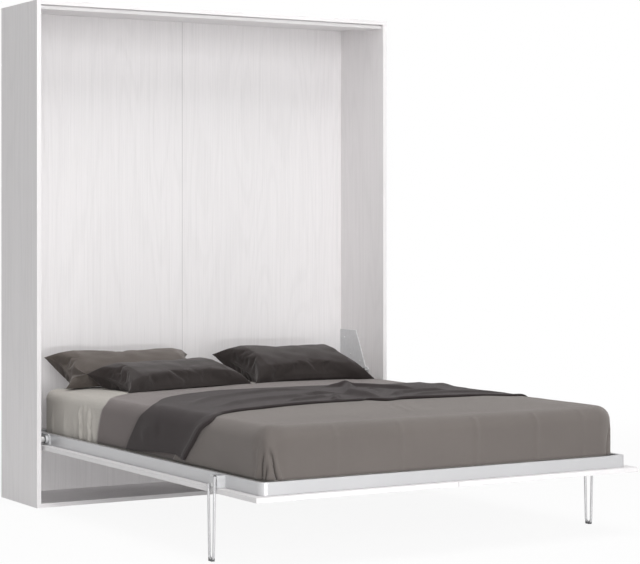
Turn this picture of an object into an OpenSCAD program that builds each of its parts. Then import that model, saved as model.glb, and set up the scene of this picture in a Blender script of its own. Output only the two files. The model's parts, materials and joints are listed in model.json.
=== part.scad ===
// Vertical wall bed, shown open: a wall cabinet, the bed that folds down out of it, and its bedding.
// The origin is on the floor at the wall, at mid width. +X is right, +Y points to the wall, +Z is up.
// Sizes are in millimetres.

/* [Mattress] */
// Width of the mattress
mattress_w = 1600; // [1200:10:1800]
// Length of the mattress
mattress_l = 2000; // [1900:10:2100]
// Thickness of the mattress
mattress_t = 206; // [170:2:214]
// Free space beside the mattress, inside the rails
mattress_slack = 15; // [8:1:30]
// Free space at the mattress's head and foot ends
mattress_end_slack = 2; // [1:1:10]
// Distance of the mattress's head end behind the cabinet's front
head_in = 210; // [185:1:220]

/* [Cabinet] */
// Depth of the cabinet
cab_d = 400; // [385:1:430]
// Thickness of the side panels
side_t = 20; // [16:1:25]
// Thickness of the top panel
top_t = 18; // [14:1:25]
// Thickness of the bottom panel
bottom_t = 18; // [14:1:20]
// Thickness of the two back panels
back_t = 8; // [5:1:10]
// Distance from the wall to the back panels
back_inset = 16; // [12:1:20]
// Depth of the groove that holds the back panels
groove_deep = 8; // [4:1:10]
// Width of the strip behind the joint of the back panels
join_strip_w = 60; // [40:1:100]
// Depth of the rail under the top panel that the closed front meets
stop_rail_d = 100; // [60:1:150]
// Thickness of that rail
stop_rail_t = 18; // [12:1:20]
// Height of the shadow groove above the rail's front edge
stop_groove_h = 3; // [1:0.5:5]

/* [Front] */
// Thickness of the two front panels
front_t = 18; // [15:1:22]
// Gap between the closed front and each side panel
front_side_gap = 15; // [15:0.5:17]
// Gap between the closed front and the top panel
front_top_gap = 3; // [3:0.5:8]
// Gap between the closed front and the bottom panel
front_bottom_gap = 5; // [5:0.5:12]
// Gap between the two front panels
seam_gap = 1.5; // [0.5:0.5:4]
// Ledge of the front beyond the foot end of the frame
foot_ledge = 28; // [20:1:45]

/* [Fold] */
// Height of the fold axis above the floor
pivot_h = 291; // [288:1:300]
// Distance of the fold axis behind the cabinet's front
pivot_in = 43; // [42:1:48]
// Radius of the pivot axle
axle_r = 8; // [6:0.5:9]
// Wall of the bush around the axle
bush_wall = 3.6; // [2:0.1:5]
// Running clearance around axles and pins
run_gap = 0.3; // [0.2:0.05:0.6]
// Thickness of the hinge plates on the side panels
hinge_t = 4; // [3:0.5:6]
// Height of the hinge plates' top edge
hinge_top = 708; // [640:1:760]
// Thickness of the arms on the side rails
arm_t = 5; // [4:0.5:6]
// Height of the arms
arm_h = 46; // [40:1:48]

/* [Bed frame] */
// Height of the rails
rail_h = 48; // [40:1:60]
// Width of the rails
rail_t = 20; // [16:1:25]
// Wall of the rails
rail_wall = 2; // [1.5:0.5:3]
// Outer radius of the frame's two foot corners
corner_r = 28; // [26:1:40]
// Space between the frame and each side panel
mech_gap = 50; // [48:1:54]
// Width of the centre beam
beam_w = 30; // [24:1:40]
// Height of the centre beam
beam_h = 18; // [14:1:18]

/* [Slats] */
// Number of slats on each side
slat_count = 15; // [11:1:17]
// Width of a slat
slat_w = 68; // [50:1:75]
// Thickness of a slat
slat_t = 8; // [6:0.5:9]
// Rise of a slat's middle over its ends
slat_bow = 10; // [5:1:12]
// Height of a slat's ends above the front panel
slat_lift = 6; // [4:1:7]
// Length of a slat that a holder grips
slat_grip = 30; // [20:1:40]
// Wall of the slat holders
holder_wall = 3; // [2:0.5:4]

/* [Gas struts] */
// Distance of both strut anchors from the fold axis
strut_r = 250; // [246:1:252]
// Angle of the cabinet anchor above the horizontal
anchor_up = 67; // [65:1:72]
// Angle of the bed anchor below the horizontal
anchor_down = 3; // [2:0.5:3]
// Radius of the strut's cylinder
tube_r = 12; // [10:0.5:12.5]
// Wall of the cylinder
tube_wall = 2; // [1.5:0.5:3]
// Radius of the strut's rod
rod_r = 5; // [4:0.5:6]
// Length of the guide at the cylinder's mouth
guide_l = 18; // [12:1:22]
// Radius of the pins at the struts' ends
strut_pin_r = 4; // [3:0.5:5]
// Radius of the struts' end eyes
eye_r = 10.5; // [8:0.5:10.5]
// Width of the end eyes
eye_w = 12; // [8:1:14]

/* [Legs] */
// Radius of the leg rod
leg_rod_r = 5; // [4:0.5:5.5]
// Spacing of the two rods at the top
leg_top_w = 46; // [40:1:56]
// Spacing of the two rods at the floor
leg_foot_w = 32; // [24:1:40]
// Distance of the legs from the frame's foot end
leg_inset = 286; // [200:1:400]
// Thickness of the leg's hinge plate
leg_plate_t = 2.5; // [2:0.25:2.5]
// Height of a leg's glide
glide_h = 14; // [10:1:20]

/* [Bedding] */
// Radius of the mattress's top edge
edge_r = 45; // [35:1:60]
// Rise of the mattress's middle over its edges
crown = 6; // [0:1:10]
// Thickness of the turned-down sheet
sheet_t = 6; // [3:1:8]
// Thickness of the blanket
blanket_t = 10; // [6:1:14]
// Thickness of the cover
cover_t = 14; // [10:1:15]
// Height of the covers' hem above the rails
hem_lift = 3; // [2:1:10]
// Width of the left pillows
pillow_w = 690; // [550:10:740]
// Width of the right pillow
pillow_right_w = 640; // [550:10:700]
// Depth of the pillows
pillow_l = 430; // [350:10:460]
// Thickness of the pillows
pillow_t = 150; // [110:5:160]
// How far a pillow's sides draw in between its corners
pillow_waist = 22; // [5:1:35]

/* [Fasteners] */
// Radius of the shank of the plate screws
screw_r = 2.5; // [2:0.25:3]
// Radius of the holes that fix the cabinet to the wall
wall_hole_r = 4.5; // [3:0.5:6]
// Distance between the two wall holes
wall_hole_spacing = 1400; // [800:10:1500]
// Height of the wall brackets above the cabinet
bracket_h = 30; // [24:1:34]
// Width of the wall brackets
bracket_w = 60; // [40:1:80]
// Thickness of the wall brackets
bracket_t = 3; // [2:0.5:5]

/* [Hidden] */

white_board = [0.91, 0.90, 0.90];
grey_board = [0.80, 0.79, 0.79];
silver = [0.76, 0.77, 0.78];
steel = [0.62, 0.66, 0.69];
dark_plastic = [0.13, 0.13, 0.14];
birch = [0.80, 0.68, 0.50];
sheet_taupe = [0.62, 0.61, 0.58];
cover_grey = [0.50, 0.48, 0.46];
band_grey = [0.40, 0.38, 0.36];
charcoal = [0.25, 0.23, 0.23];

// Face to face joints in one body keep this much air where surfaces are curved
seat = 0.3;
round_fn = 64;

// Cabinet, across
frame_x = mattress_w / 2 + mattress_slack + rail_t;
in_w = frame_x + mech_gap;
cab_w = 2 * (in_w + side_t);
front_x = in_w - front_side_gap;

// Fold axis
py = -cab_d + pivot_in;
pz = pivot_h;

// Bed along its length, open
head_clear = cab_d - head_in;
mattress_foot_y = -head_clear - mattress_l;
frame_foot_y = mattress_foot_y - mattress_end_slack - rail_t;
frame_head_y = -head_clear + mattress_end_slack + rail_t;
front_foot_y = frame_foot_y - foot_ledge;
front_head_y = py + pz - bottom_t - front_bottom_gap;

// Bed upward, open
front_z = pz - pivot_in;
deck_z = front_z + front_t;
rail_top = deck_z + rail_h;
mattress_z = deck_z + slat_lift + slat_t + slat_bow + seat;
mattress_top = mattress_z + mattress_t;

// Cabinet, upward
cab_h = pz + py - front_foot_y + front_top_gap + top_t;
in_top = cab_h - top_t;

// Back of the cabinet
back_front_y = -back_inset - back_t;
stop_rail_y = -cab_d + front_t + 0.5;

// Strut anchors
anchor_a = [py + strut_r * cos(anchor_up), pz + strut_r * sin(anchor_up)];
anchor_b = [py + strut_r * cos(anchor_down), pz - strut_r * sin(anchor_down)];
strut_short = 2 * strut_r * sin((anchor_up + anchor_down) / 2);
strut_long = 2 * strut_r * sin((anchor_up + anchor_down + 90) / 2);
strut_x = in_w - mech_gap / 2;
tube_end = strut_short - eye_r - rod_r - 13;
tube_floor = eye_r + 15;
rod_l = min(strut_short - tube_floor - 3, strut_long);
piston_t = 5;
strut_lean = atan2(-(anchor_b[0] - anchor_a[0]), anchor_b[1] - anchor_a[1]);

// Hinge plate: its front edge leans back from the fold axis, past which it passes at a distance
plate_lean = 63.6;
plate_edge_gap = 12;
plate_edge_foot = [py, pz] + plate_edge_gap * [-sin(plate_lean), cos(plate_lean)];
function plate_edge_y(z) = plate_edge_foot[0] + (z - plate_edge_foot[1]) / tan(plate_lean);
plate_low = bottom_t + 150;
plate_x = in_w - hinge_t;
arm_boss_r = axle_r + run_gap + bush_wall + 5;
arm_y = -cab_d + 15;
arm_bolt_r = 4;
arm_bolt_ys = [for (k = [1 : 4]) py + k * (frame_head_y - py) / 4.8];

// Legs
leg_y = frame_foot_y + leg_inset;
leg_x = in_w - leg_rod_r - 1.5;
leg_weld = 0.6;
leg_plate_x = leg_x - leg_rod_r - leg_weld - leg_plate_t;
leg_pin_r = 5;
leg_pz = deck_z + 12;
leg_short_top = deck_z + 14;
leg_tall_top = rail_top - 3;
leg_bend_r = leg_foot_w / 2;
leg_bend_z = leg_bend_r + leg_rod_r + 2;
leg_lean = acos(leg_bend_r / norm([leg_top_w / 2, deck_z - leg_bend_z]))
    - atan2(deck_z - leg_bend_z, leg_top_w / 2);
leg_shank_y = leg_bend_r * cos(leg_lean);
leg_shank_z = leg_bend_z - leg_bend_r * sin(leg_lean);
leg_bracket_w = 52;
leg_bracket_wall = 3;

// Plate screws on each hinge plate, as [y, z]
plate_screw_points = [
    [plate_edge_y(hinge_top - 119) + 106, hinge_top - 119],
    [plate_edge_y(hinge_top - 149) + 36, hinge_top - 149],
    [back_front_y - 40, hinge_top - 40],
    [back_front_y - 40, 340],
    [back_front_y - 40, 210],
    [py + 70, 205],
];

// Angles between the rails and the front panels, at these shares of the slat pitch
slat_end = 70;
slat_pitch = (mattress_l - 2 * slat_end) / (slat_count - 1);
function slat_y(k) = mattress_foot_y + slat_end + k * slat_pitch;
angle_slots = [for (k = [1 : 4 : slat_count - 2]) slat_y(k) + slat_pitch / 2];
angle_leg = 20;
angle_t = 2;
angle_l = 40;

// Wall brackets
bracket_d = 42;
bracket_screw_y = back_front_y - 8;

// Cam fittings
cam_r = 7.5;
cam_h = 12.5;
cam_in = 34;
cam_ys = [-cab_d + 60, -90];
cam_bolt_r = 3;
cam_bolt_in = 11;

// Helpers

// Draws its children for the right side, or mirrored for the left side
module on_side(s) {
    if (s > 0) children();
    else mirror([1, 0, 0]) children();
}

// Extrudes a shape drawn in Y and Z from x0 by t along X
module yz(x0, t) {
    translate([x0, 0, 0]) rotate([90, 0, 90]) linear_extrude(t) children();
}

// Round bar along X
module bar_x(x0, x1, y, z, r) {
    translate([x0, y, z]) rotate([0, 90, 0]) cylinder(r = r, h = x1 - x0, $fn = round_fn);
}

// Box between two corners
module box(a, b) {
    translate(a) cube(b - a);
}

// Rectangle with cut corners, centred
module cut_rect(w, h, c) {
    polygon([
        [-w / 2 + c, -h / 2], [w / 2 - c, -h / 2], [w / 2, -h / 2 + c], [w / 2, h / 2 - c],
        [w / 2 - c, h / 2], [-w / 2 + c, h / 2], [-w / 2, h / 2 - c], [-w / 2, -h / 2 + c],
    ]);
}

// Cross-section of the rectangular tube of the frame
module rail_section() {
    difference() {
        cut_rect(rail_t, rail_h, 1.5);
        cut_rect(rail_t - 2 * rail_wall, rail_h - 2 * rail_wall, 1);
    }
}

// Low round-headed screw that points along +Z into its seat at z = 0, with a cross recess
module pan_screw(head_r, head_h, shank_r, shank_l) {
    difference() {
        union() {
            translate([0, 0, -head_h]) cylinder(r1 = head_r * 0.8, r2 = head_r, h = head_h, $fn = 32);
            cylinder(r = shank_r, h = shank_l, $fn = 32);
        }
        for (a = [0, 90])
            rotate([0, 0, a]) translate([-head_r * 0.45, -head_r * 0.09, -head_h - 1])
                cube([head_r * 0.9, head_r * 0.18, 1 + head_h * 0.5]);
    }
}

// Cabinet

module side_panel(s) {
    color(white_board) on_side(s) difference() {
        box([in_w, -cab_d, 0], [in_w + side_t, 0, cab_h]);
        box([in_w - 1, back_front_y, bottom_t - groove_deep],
            [in_w + groove_deep, -back_inset, in_top + groove_deep]);
        for (p = plate_screw_points)
            bar_x(in_w - 1, in_w + 14, p[0], p[1], screw_r + 0.1);
        for (y = cam_ys, z = [bottom_t / 2, cab_h - top_t / 2])
            bar_x(in_w - 1, in_w + cam_bolt_in, y, z, cam_bolt_r + 0.1);
    }
}

module left_side_panel() side_panel(-1);
module right_side_panel() side_panel(1);

// Blind seats and bolt holes of the cam fittings at both ends of a board
module cam_cuts(board_z, face_z, dir) {
    for (s = [-1, 1], y = cam_ys) {
        translate([s * (in_w - cam_in), y, dir > 0 ? face_z - cam_h - 0.5 : face_z - 1])
            cylinder(r = cam_r + 0.2, h = cam_h + 1.5, $fn = 48);
        on_side(s) bar_x(in_w - cam_in, in_w + 1, y, board_z, cam_bolt_r + 0.1);
    }
}

module top_panel() {
    color(white_board) difference() {
        box([-in_w, -cab_d, in_top], [in_w, 0, cab_h]);
        box([-in_w - 1, back_front_y, in_top - 1], [in_w + 1, -back_inset, in_top + groove_deep]);
        cam_cuts(cab_h - top_t / 2, cab_h, 1);
        for (s = [-1, 1], x = [-1, 1])
            translate([s * wall_hole_spacing / 2 + x * bracket_w / 4, bracket_screw_y, cab_h - 14])
                cylinder(r = screw_r + 0.1, h = 15, $fn = 32);
    }
}

module bottom_panel() {
    color(white_board) difference() {
        box([-in_w, -cab_d, 0], [in_w, 0, bottom_t]);
        box([-in_w - 1, back_front_y, bottom_t - groove_deep], [in_w + 1, -back_inset, bottom_t + 1]);
        cam_cuts(bottom_t / 2, bottom_t, 1);
    }
}

module back_panel(s) {
    color(white_board) on_side(s)
        box([0.2, back_front_y + 0.2, bottom_t - groove_deep + 0.5],
            [in_w + groove_deep - 0.5, -back_inset, in_top + groove_deep - 0.5]);
}

module back_panel_left() back_panel(-1);
module back_panel_right() back_panel(1);

module back_join_strip() {
    color(white_board)
        box([-join_strip_w / 2, -back_inset, bottom_t], [join_strip_w / 2, 0, in_top]);
}

module top_stop_rail() {
    color(white_board) difference() {
        box([-in_w, stop_rail_y, in_top - stop_rail_t], [in_w, stop_rail_y + stop_rail_d, in_top]);
        box([-in_w - 1, stop_rail_y - 1, in_top - stop_groove_h], [in_w + 1, stop_rail_y + 6, in_top + 1]);
    }
}

module cam_locks() {
    color(steel) for (s = [-1, 1], y = cam_ys, face = [bottom_t, cab_h])
        translate([s * (in_w - cam_in), y, face - cam_h]) difference() {
            cylinder(r = cam_r, h = cam_h, $fn = 48);
            translate([0, 0, cam_h - 2]) cylinder(r = 2.5, h = 3, $fn = 24);
            on_side(s) bar_x(-cam_r + 2, cam_r + 1, 0,
                (face == cab_h ? cab_h - top_t / 2 : bottom_t / 2) - (face - cam_h), cam_bolt_r + 0.1);
        }
}

module cam_bolts() {
    color(steel) for (s = [-1, 1], y = cam_ys, z = [bottom_t / 2, cab_h - top_t / 2])
        on_side(s) bar_x(in_w - cam_in - cam_r + 2.5, in_w + cam_bolt_in - 0.5, y, z, cam_bolt_r);
}

module wall_brackets() {
    color(steel) for (s = [-1, 1]) translate([s * wall_hole_spacing / 2, 0, cab_h]) difference() {
        union() {
            box([-bracket_w / 2, -bracket_d, 0], [bracket_w / 2, 0, bracket_t]);
            box([-bracket_w / 2, -bracket_t, 0], [bracket_w / 2, 0, bracket_h]);
            for (x = [-bracket_w / 2, bracket_w / 2 - 2]) yz(x, 2)
                polygon([[-bracket_d * 0.7, bracket_t], [-bracket_t, bracket_t],
                         [-bracket_t, bracket_h * 0.8]]);
        }
        translate([0, 1, bracket_t + (bracket_h - bracket_t) / 2]) rotate([90, 0, 0])
            cylinder(r = wall_hole_r, h = bracket_t + 2, $fn = round_fn);
        for (x = [-1, 1]) translate([x * bracket_w / 4, bracket_screw_y, -1])
            cylinder(r = screw_r + 0.1, h = bracket_t + 2, $fn = 32);
    }
}

module wall_bracket_screws() {
    color(silver) for (s = [-1, 1], x = [-1, 1])
        translate([s * wall_hole_spacing / 2 + x * bracket_w / 4, bracket_screw_y, cab_h + bracket_t])
            rotate([180, 0, 0]) pan_screw(4.5, 3, screw_r, bracket_t + 13);
}

// Steel plate on the side panel, with round lobes at the fold axis and at the strut's anchor
module hinge_plate(s) {
    lobe_r = arm_boss_r + 8;
    color(steel) on_side(s) difference() {
        union() {
            yz(plate_x, hinge_t) polygon([
                plate_edge_foot, [plate_edge_y(hinge_top), hinge_top], [back_front_y - seat, hinge_top],
                [back_front_y - seat, plate_low], [py + 60, plate_low], [py, pz - lobe_r * 0.8],
            ]);
            bar_x(plate_x, in_w, py, pz, lobe_r);
            bar_x(plate_x, in_w, anchor_a[0], anchor_a[1], 16);
        }
        bar_x(plate_x - 1, in_w + 1, py, pz, axle_r + 0.1);
        bar_x(plate_x - 1, in_w + 1, anchor_a[0], anchor_a[1], strut_pin_r + 0.1);
        for (p = plate_screw_points) bar_x(plate_x - 1, in_w + 1, p[0], p[1], screw_r + 0.2);
    }
}

module left_hinge_plate() hinge_plate(-1);
module right_hinge_plate() hinge_plate(1);

module hinge_plate_screws() {
    color(silver) for (s = [-1, 1], p = plate_screw_points)
        on_side(s) translate([plate_x, p[0], p[1]]) rotate([0, 90, 0])
            pan_screw(4.5, 2.5, screw_r, hinge_t + 12);
}

module pivot_axles() {
    collar = frame_x + arm_t + 16;
    color(silver) for (s = [-1, 1]) on_side(s) union() {
        bar_x(frame_x + 1.5, collar, py, pz, axle_r);
        bar_x(collar, plate_x, py, pz, axle_r + 5);
        bar_x(plate_x, in_w, py, pz, axle_r);
    }
}

module strut_upper_pins() {
    color(silver) for (s = [-1, 1]) on_side(s) union() {
        bar_x(strut_x - eye_w / 2 - 3.5, strut_x - eye_w / 2 - 1, anchor_a[0], anchor_a[1], strut_pin_r + 3);
        bar_x(strut_x - eye_w / 2 - 1, strut_x + eye_w / 2 + 1, anchor_a[0], anchor_a[1], strut_pin_r);
        bar_x(strut_x + eye_w / 2 + 1, plate_x, anchor_a[0], anchor_a[1], strut_pin_r + 3);
        bar_x(plate_x, in_w, anchor_a[0], anchor_a[1], strut_pin_r);
    }
}

// Bed frame and front

module front_panel(s) {
    color(grey_board) on_side(s) difference() {
        box([seam_gap / 2, front_foot_y, front_z], [front_x, front_head_y, deck_z]);
        for (y = angle_slots) translate([frame_x - rail_t - angle_leg * 0.65, y, deck_z - 11])
            cylinder(r = screw_r + 0.1, h = 12, $fn = 32);
    }
}

module front_panel_left() front_panel(-1);
module front_panel_right() front_panel(1);

module side_rail(s) {
    y0 = frame_foot_y + corner_r;
    color(silver) on_side(s) difference() {
        translate([frame_x - rail_t / 2, frame_head_y, deck_z + rail_h / 2])
            rotate([90, 0, 0]) linear_extrude(frame_head_y - y0) rail_section();
        for (y = arm_bolt_ys)
            bar_x(frame_x - rail_wall - 1, frame_x + 1, y, pz, arm_bolt_r + 0.1);
        for (y = [leg_y - 12, leg_y + 12])
            bar_x(frame_x - rail_wall - 1, frame_x + 1, y, deck_z + rail_h / 2, screw_r + 0.1);
    }
}

module left_side_rail() side_rail(-1);
module right_side_rail() side_rail(1);

module foot_rail() {
    straight = frame_x - corner_r;
    color(silver) translate([0, frame_foot_y, deck_z + rail_h / 2]) union() {
        translate([-straight, rail_t / 2, 0]) rotate([90, 0, 90]) linear_extrude(2 * straight) rail_section();
        for (s = [-1, 1]) on_side(s) translate([straight, corner_r, 0])
            rotate([0, 0, -90]) rotate_extrude(angle = 90, $fn = 96)
                translate([corner_r - rail_t / 2, 0]) rail_section();
    }
}

module head_rail() {
    color(silver) translate([-frame_x + rail_t, frame_head_y - rail_t / 2, deck_z + rail_h / 2])
        rotate([90, 0, 90]) linear_extrude(2 * (frame_x - rail_t)) rail_section();
}

module centre_beam() {
    color(silver) translate([0, frame_head_y - rail_t, deck_z + beam_h / 2])
        rotate([90, 0, 0]) linear_extrude(frame_head_y - frame_foot_y - 2 * rail_t) difference() {
            cut_rect(beam_w, beam_h, 1);
            cut_rect(beam_w - 2 * rail_wall, beam_h - 2 * rail_wall, 0.5);
        }
}

// One bowed slat from x0 to x1, its ends at the given height
module slat(x0, x1, y, z) {
    half = (x1 - x0) / 2;
    bow_r = (half * half + slat_bow * slat_bow) / (2 * slat_bow);
    turn = 2 * asin(half / bow_r);
    translate([x0 + half, y - slat_w / 2, z + slat_bow - bow_r]) rotate([-90, 0, 0])
        rotate([0, 0, -90 - turn / 2]) rotate_extrude(angle = turn, $fn = 1440)
            translate([bow_r, 0]) square([slat_t, slat_w]);
}

// A slat's ends stop short of the holders' back walls, because they tilt with its bow
slat_in = beam_w / 2 + holder_wall + 1;
slat_out = frame_x - rail_t - holder_wall - 1;

module slats(s) {
    color(birch) on_side(s) for (k = [0 : slat_count - 1])
        slat(slat_in, slat_out, slat_y(k), deck_z + slat_lift);
}

module slats_left() slats(-1);
module slats_right() slats(1);

// Cap that holds a slat's end, open towards +X, its back wall at x = 0
module slat_holder() {
    h = slat_lift + slat_t + 5;
    difference() {
        box([0, -slat_w / 2 - holder_wall, 0], [slat_grip + holder_wall, slat_w / 2 + holder_wall, h]);
        box([holder_wall, -slat_w / 2 - seat, slat_lift - seat],
            [slat_grip + holder_wall + 1, slat_w / 2 + seat, slat_lift + slat_t + 2.5]);
    }
}

module slat_holders() {
    color(dark_plastic) for (s = [-1, 1], k = [0 : slat_count - 1]) on_side(s) {
        translate([beam_w / 2, slat_y(k), deck_z]) slat_holder();
        translate([frame_x - rail_t, slat_y(k), deck_z]) mirror([1, 0, 0]) slat_holder();
    }
}

module frame_angles() {
    x = frame_x - rail_t;
    color(steel) for (s = [-1, 1], y = angle_slots) on_side(s) difference() {
        union() {
            box([x - angle_leg, y - angle_l / 2, deck_z], [x, y + angle_l / 2, deck_z + angle_t]);
            box([x - angle_t, y - angle_l / 2, deck_z], [x, y + angle_l / 2, deck_z + angle_leg]);
        }
        translate([x - angle_leg * 0.65, y, deck_z - 1]) cylinder(r = screw_r + 0.1, h = angle_t + 2, $fn = 32);
    }
}

module frame_angle_screws() {
    color(silver) for (s = [-1, 1], y = angle_slots) on_side(s)
        translate([frame_x - rail_t - angle_leg * 0.65, y, deck_z + angle_t]) rotate([180, 0, 0])
            pan_screw(4.5, 2.5, screw_r, angle_t + 10);
}

// Outline of the arm in Y and Z
module arm_outline() {
    low = deck_z + 1;
    difference() {
        union() {
            polygon([
                [arm_y, low], [arm_y, low + arm_h - 12], [arm_y + 12, low + arm_h],
                [frame_head_y, low + arm_h], [anchor_b[0], anchor_b[1] + eye_r + 0.8],
                [anchor_b[0], low],
            ]);
            translate([py, pz]) circle(r = pz - low, $fn = 96);
            translate(anchor_b) circle(r = anchor_b[1] - low, $fn = round_fn);
        }
        translate([py, pz]) circle(r = axle_r + run_gap + bush_wall, $fn = round_fn);
        translate(anchor_b) circle(r = strut_pin_r + 0.1, $fn = 48);
        for (y = arm_bolt_ys) translate([y, pz]) circle(r = arm_bolt_r + 0.1, $fn = 48);
    }
}

module bed_arm(s) {
    color(steel) on_side(s) union() {
        yz(frame_x, arm_t) arm_outline();
        yz(frame_x + arm_t, 11) translate([py, pz]) difference() {
            circle(r = arm_boss_r, $fn = 96);
            circle(r = axle_r + run_gap + bush_wall, $fn = round_fn);
        }
    }
}

module left_bed_arm() bed_arm(-1);
module right_bed_arm() bed_arm(1);

module bed_arm_bolts() {
    color(silver) for (s = [-1, 1], y = arm_bolt_ys) on_side(s) union() {
        bar_x(frame_x - rail_wall - 4, frame_x + arm_t, y, pz, arm_bolt_r);
        translate([frame_x + arm_t, y, pz]) rotate([0, 90, 0]) cylinder(r = 7, h = 5, $fn = 6);
    }
}

module pivot_bushes() {
    color(dark_plastic) for (s = [-1, 1]) on_side(s) difference() {
        union() {
            bar_x(frame_x + 0.5, frame_x + arm_t + 11, py, pz, axle_r + run_gap + bush_wall - 0.1);
            bar_x(frame_x + arm_t + 11, frame_x + arm_t + 13.5, py, pz, arm_boss_r - 1);
        }
        bar_x(frame_x, frame_x + arm_t + 15, py, pz, axle_r + run_gap);
    }
}

module strut_lower_pins() {
    color(silver) for (s = [-1, 1]) on_side(s) union() {
        bar_x(frame_x, frame_x + arm_t, anchor_b[0], anchor_b[1], strut_pin_r);
        bar_x(frame_x + arm_t, strut_x - eye_w / 2 - 1, anchor_b[0], anchor_b[1], strut_pin_r + 3);
        bar_x(strut_x - eye_w / 2 - 1, strut_x + eye_w / 2 + 1, anchor_b[0], anchor_b[1], strut_pin_r);
        bar_x(strut_x + eye_w / 2 + 1, strut_x + eye_w / 2 + 3.5, anchor_b[0], anchor_b[1], strut_pin_r + 3);
    }
}

// Channel on the rail that carries a leg, open at its top and bottom
module leg_bracket(s) {
    low = deck_z + 1;
    outer = leg_plate_x - seat;
    color(steel) on_side(s) difference() {
        box([frame_x, leg_y - leg_bracket_w / 2, low], [outer, leg_y + leg_bracket_w / 2, low + arm_h]);
        box([frame_x + leg_bracket_wall, leg_y - leg_bracket_w / 2 + leg_bracket_wall, low - 1],
            [outer - leg_bracket_wall, leg_y + leg_bracket_w / 2 - leg_bracket_wall, low + arm_h + 1]);
        bar_x(outer - leg_bracket_wall - 1, outer + 1, leg_y, leg_pz, leg_pin_r + 0.1);
    }
}

module left_leg_bracket() leg_bracket(-1);
module right_leg_bracket() leg_bracket(1);

module leg_pivot_bolts() {
    outer = leg_plate_x - seat;
    color(silver) for (s = [-1, 1]) on_side(s) union() {
        bar_x(outer - leg_bracket_wall - 8, outer - leg_bracket_wall, leg_y, leg_pz, leg_pin_r + 3);
        bar_x(outer - leg_bracket_wall, leg_plate_x + leg_plate_t + seat, leg_y, leg_pz, leg_pin_r);
        bar_x(leg_plate_x + leg_plate_t + seat, leg_plate_x + leg_plate_t + 4, leg_y, leg_pz, leg_pin_r + 3);
    }
}

// Legs

// Length of a shank that ends at height z
function shank_l(z) = (z - leg_shank_z) / cos(leg_lean);

// Hairpin rod: its two shanks narrow towards the floor and run into a round bend,
// whose ends reach a little way into the shanks
module leg_rod() {
    into = 3;
    union() {
        for (q = [-1, 1]) translate([leg_x, leg_y + q * leg_shank_y, leg_shank_z]) rotate([-q * leg_lean, 0, 0])
            cylinder(r = leg_rod_r, h = shank_l(q < 0 ? leg_tall_top : leg_short_top), $fn = 32);
        translate([leg_x, leg_y, leg_bend_z]) rotate([0, 90, 0]) rotate([0, 0, leg_lean - 90 - into])
            rotate_extrude(angle = 180 - 2 * leg_lean + 2 * into, $fn = 64)
                translate([leg_bend_r, 0]) circle(r = leg_rod_r - 0.1, $fn = 32);
    }
}

// The rod, and the plate that it is welded to
module leg(s) {
    plate_w = leg_top_w + 2 * leg_rod_r + 4;
    plate_h = rail_h - 10;
    plate_z = deck_z + 1;
    weld_x = leg_plate_x + leg_plate_t;
    color(silver) translate([s > 0 ? 0 : -2 * leg_x, 0, 0]) leg_rod();
    color(silver) on_side(s) {
        difference() {
            yz(leg_plate_x, leg_plate_t) translate([leg_y, plate_z + plate_h / 2])
                cut_rect(plate_w, plate_h, 6);
            bar_x(leg_plate_x - 1, weld_x + 1, leg_y, leg_pz, leg_pin_r + run_gap);
        }
        for (q = [-1, 1]) translate([0, leg_y + q * leg_top_w / 2, 0])
            box([weld_x - 0.5, -2.5, plate_z + 2], [weld_x + leg_weld + 2, 2.5, leg_short_top - 2]);
    }
}

module left_leg() leg(-1);
module right_leg() leg(1);

// Cap on the top of the taller shank
module leg_cap(s) {
    color(dark_plastic) translate([s * leg_x, leg_y - leg_shank_y, leg_shank_z]) rotate([leg_lean, 0, 0])
        translate([0, 0, shank_l(leg_tall_top)])
            cylinder(r1 = leg_rod_r + 1, r2 = leg_rod_r - 1, h = 5, $fn = 32);
}

module left_leg_cap() leg_cap(-1);
module right_leg_cap() leg_cap(1);

// Glide under the bend of the rod, with a round groove that the rod sits in
module leg_glide(s) {
    wide = leg_rod_r + 1.5;
    color(dark_plastic) on_side(s) difference() {
        box([leg_x - wide, leg_y - leg_bend_r * 0.8, 0], [leg_x + wide, leg_y + leg_bend_r * 0.8, glide_h]);
        translate([leg_x, leg_y, leg_bend_z]) rotate([0, 90, 0]) rotate_extrude($fn = 64)
            translate([leg_bend_r, 0]) circle(r = leg_rod_r + 0.1, $fn = 32);
        translate([leg_x - wide - 1, leg_y, leg_bend_z]) rotate([0, 90, 0])
            cylinder(r = leg_bend_r, h = 2 * wide + 2, $fn = 64);
    }
}

module left_leg_glide() leg_glide(-1);
module right_leg_glide() leg_glide(1);

// Gas struts

// Cylinder along +Z from its eye at the origin
module strut_cylinder(s) {
    color(dark_plastic) translate([s * strut_x, anchor_a[0], anchor_a[1]]) rotate([strut_lean, 0, 0])
        difference() {
            union() {
                bar_x(-eye_w / 2, eye_w / 2, 0, 0, eye_r);
                translate([0, 0, eye_r * 0.6]) cylinder(r = 6, h = tube_floor - eye_r * 0.6, $fn = 48);
                translate([0, 0, tube_floor - 4]) cylinder(r1 = tube_r - 3, r2 = tube_r, h = 4, $fn = round_fn);
                translate([0, 0, tube_floor]) cylinder(r = tube_r, h = tube_end - tube_floor, $fn = round_fn);
            }
            bar_x(-eye_w, eye_w, 0, 0, strut_pin_r + run_gap);
            translate([0, 0, tube_floor]) cylinder(r = tube_r - tube_wall,
                h = tube_end - guide_l - tube_floor, $fn = round_fn);
            translate([0, 0, tube_end - guide_l - 1])
                cylinder(r = rod_r + run_gap, h = guide_l + 2, $fn = round_fn);
        }
}

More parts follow.
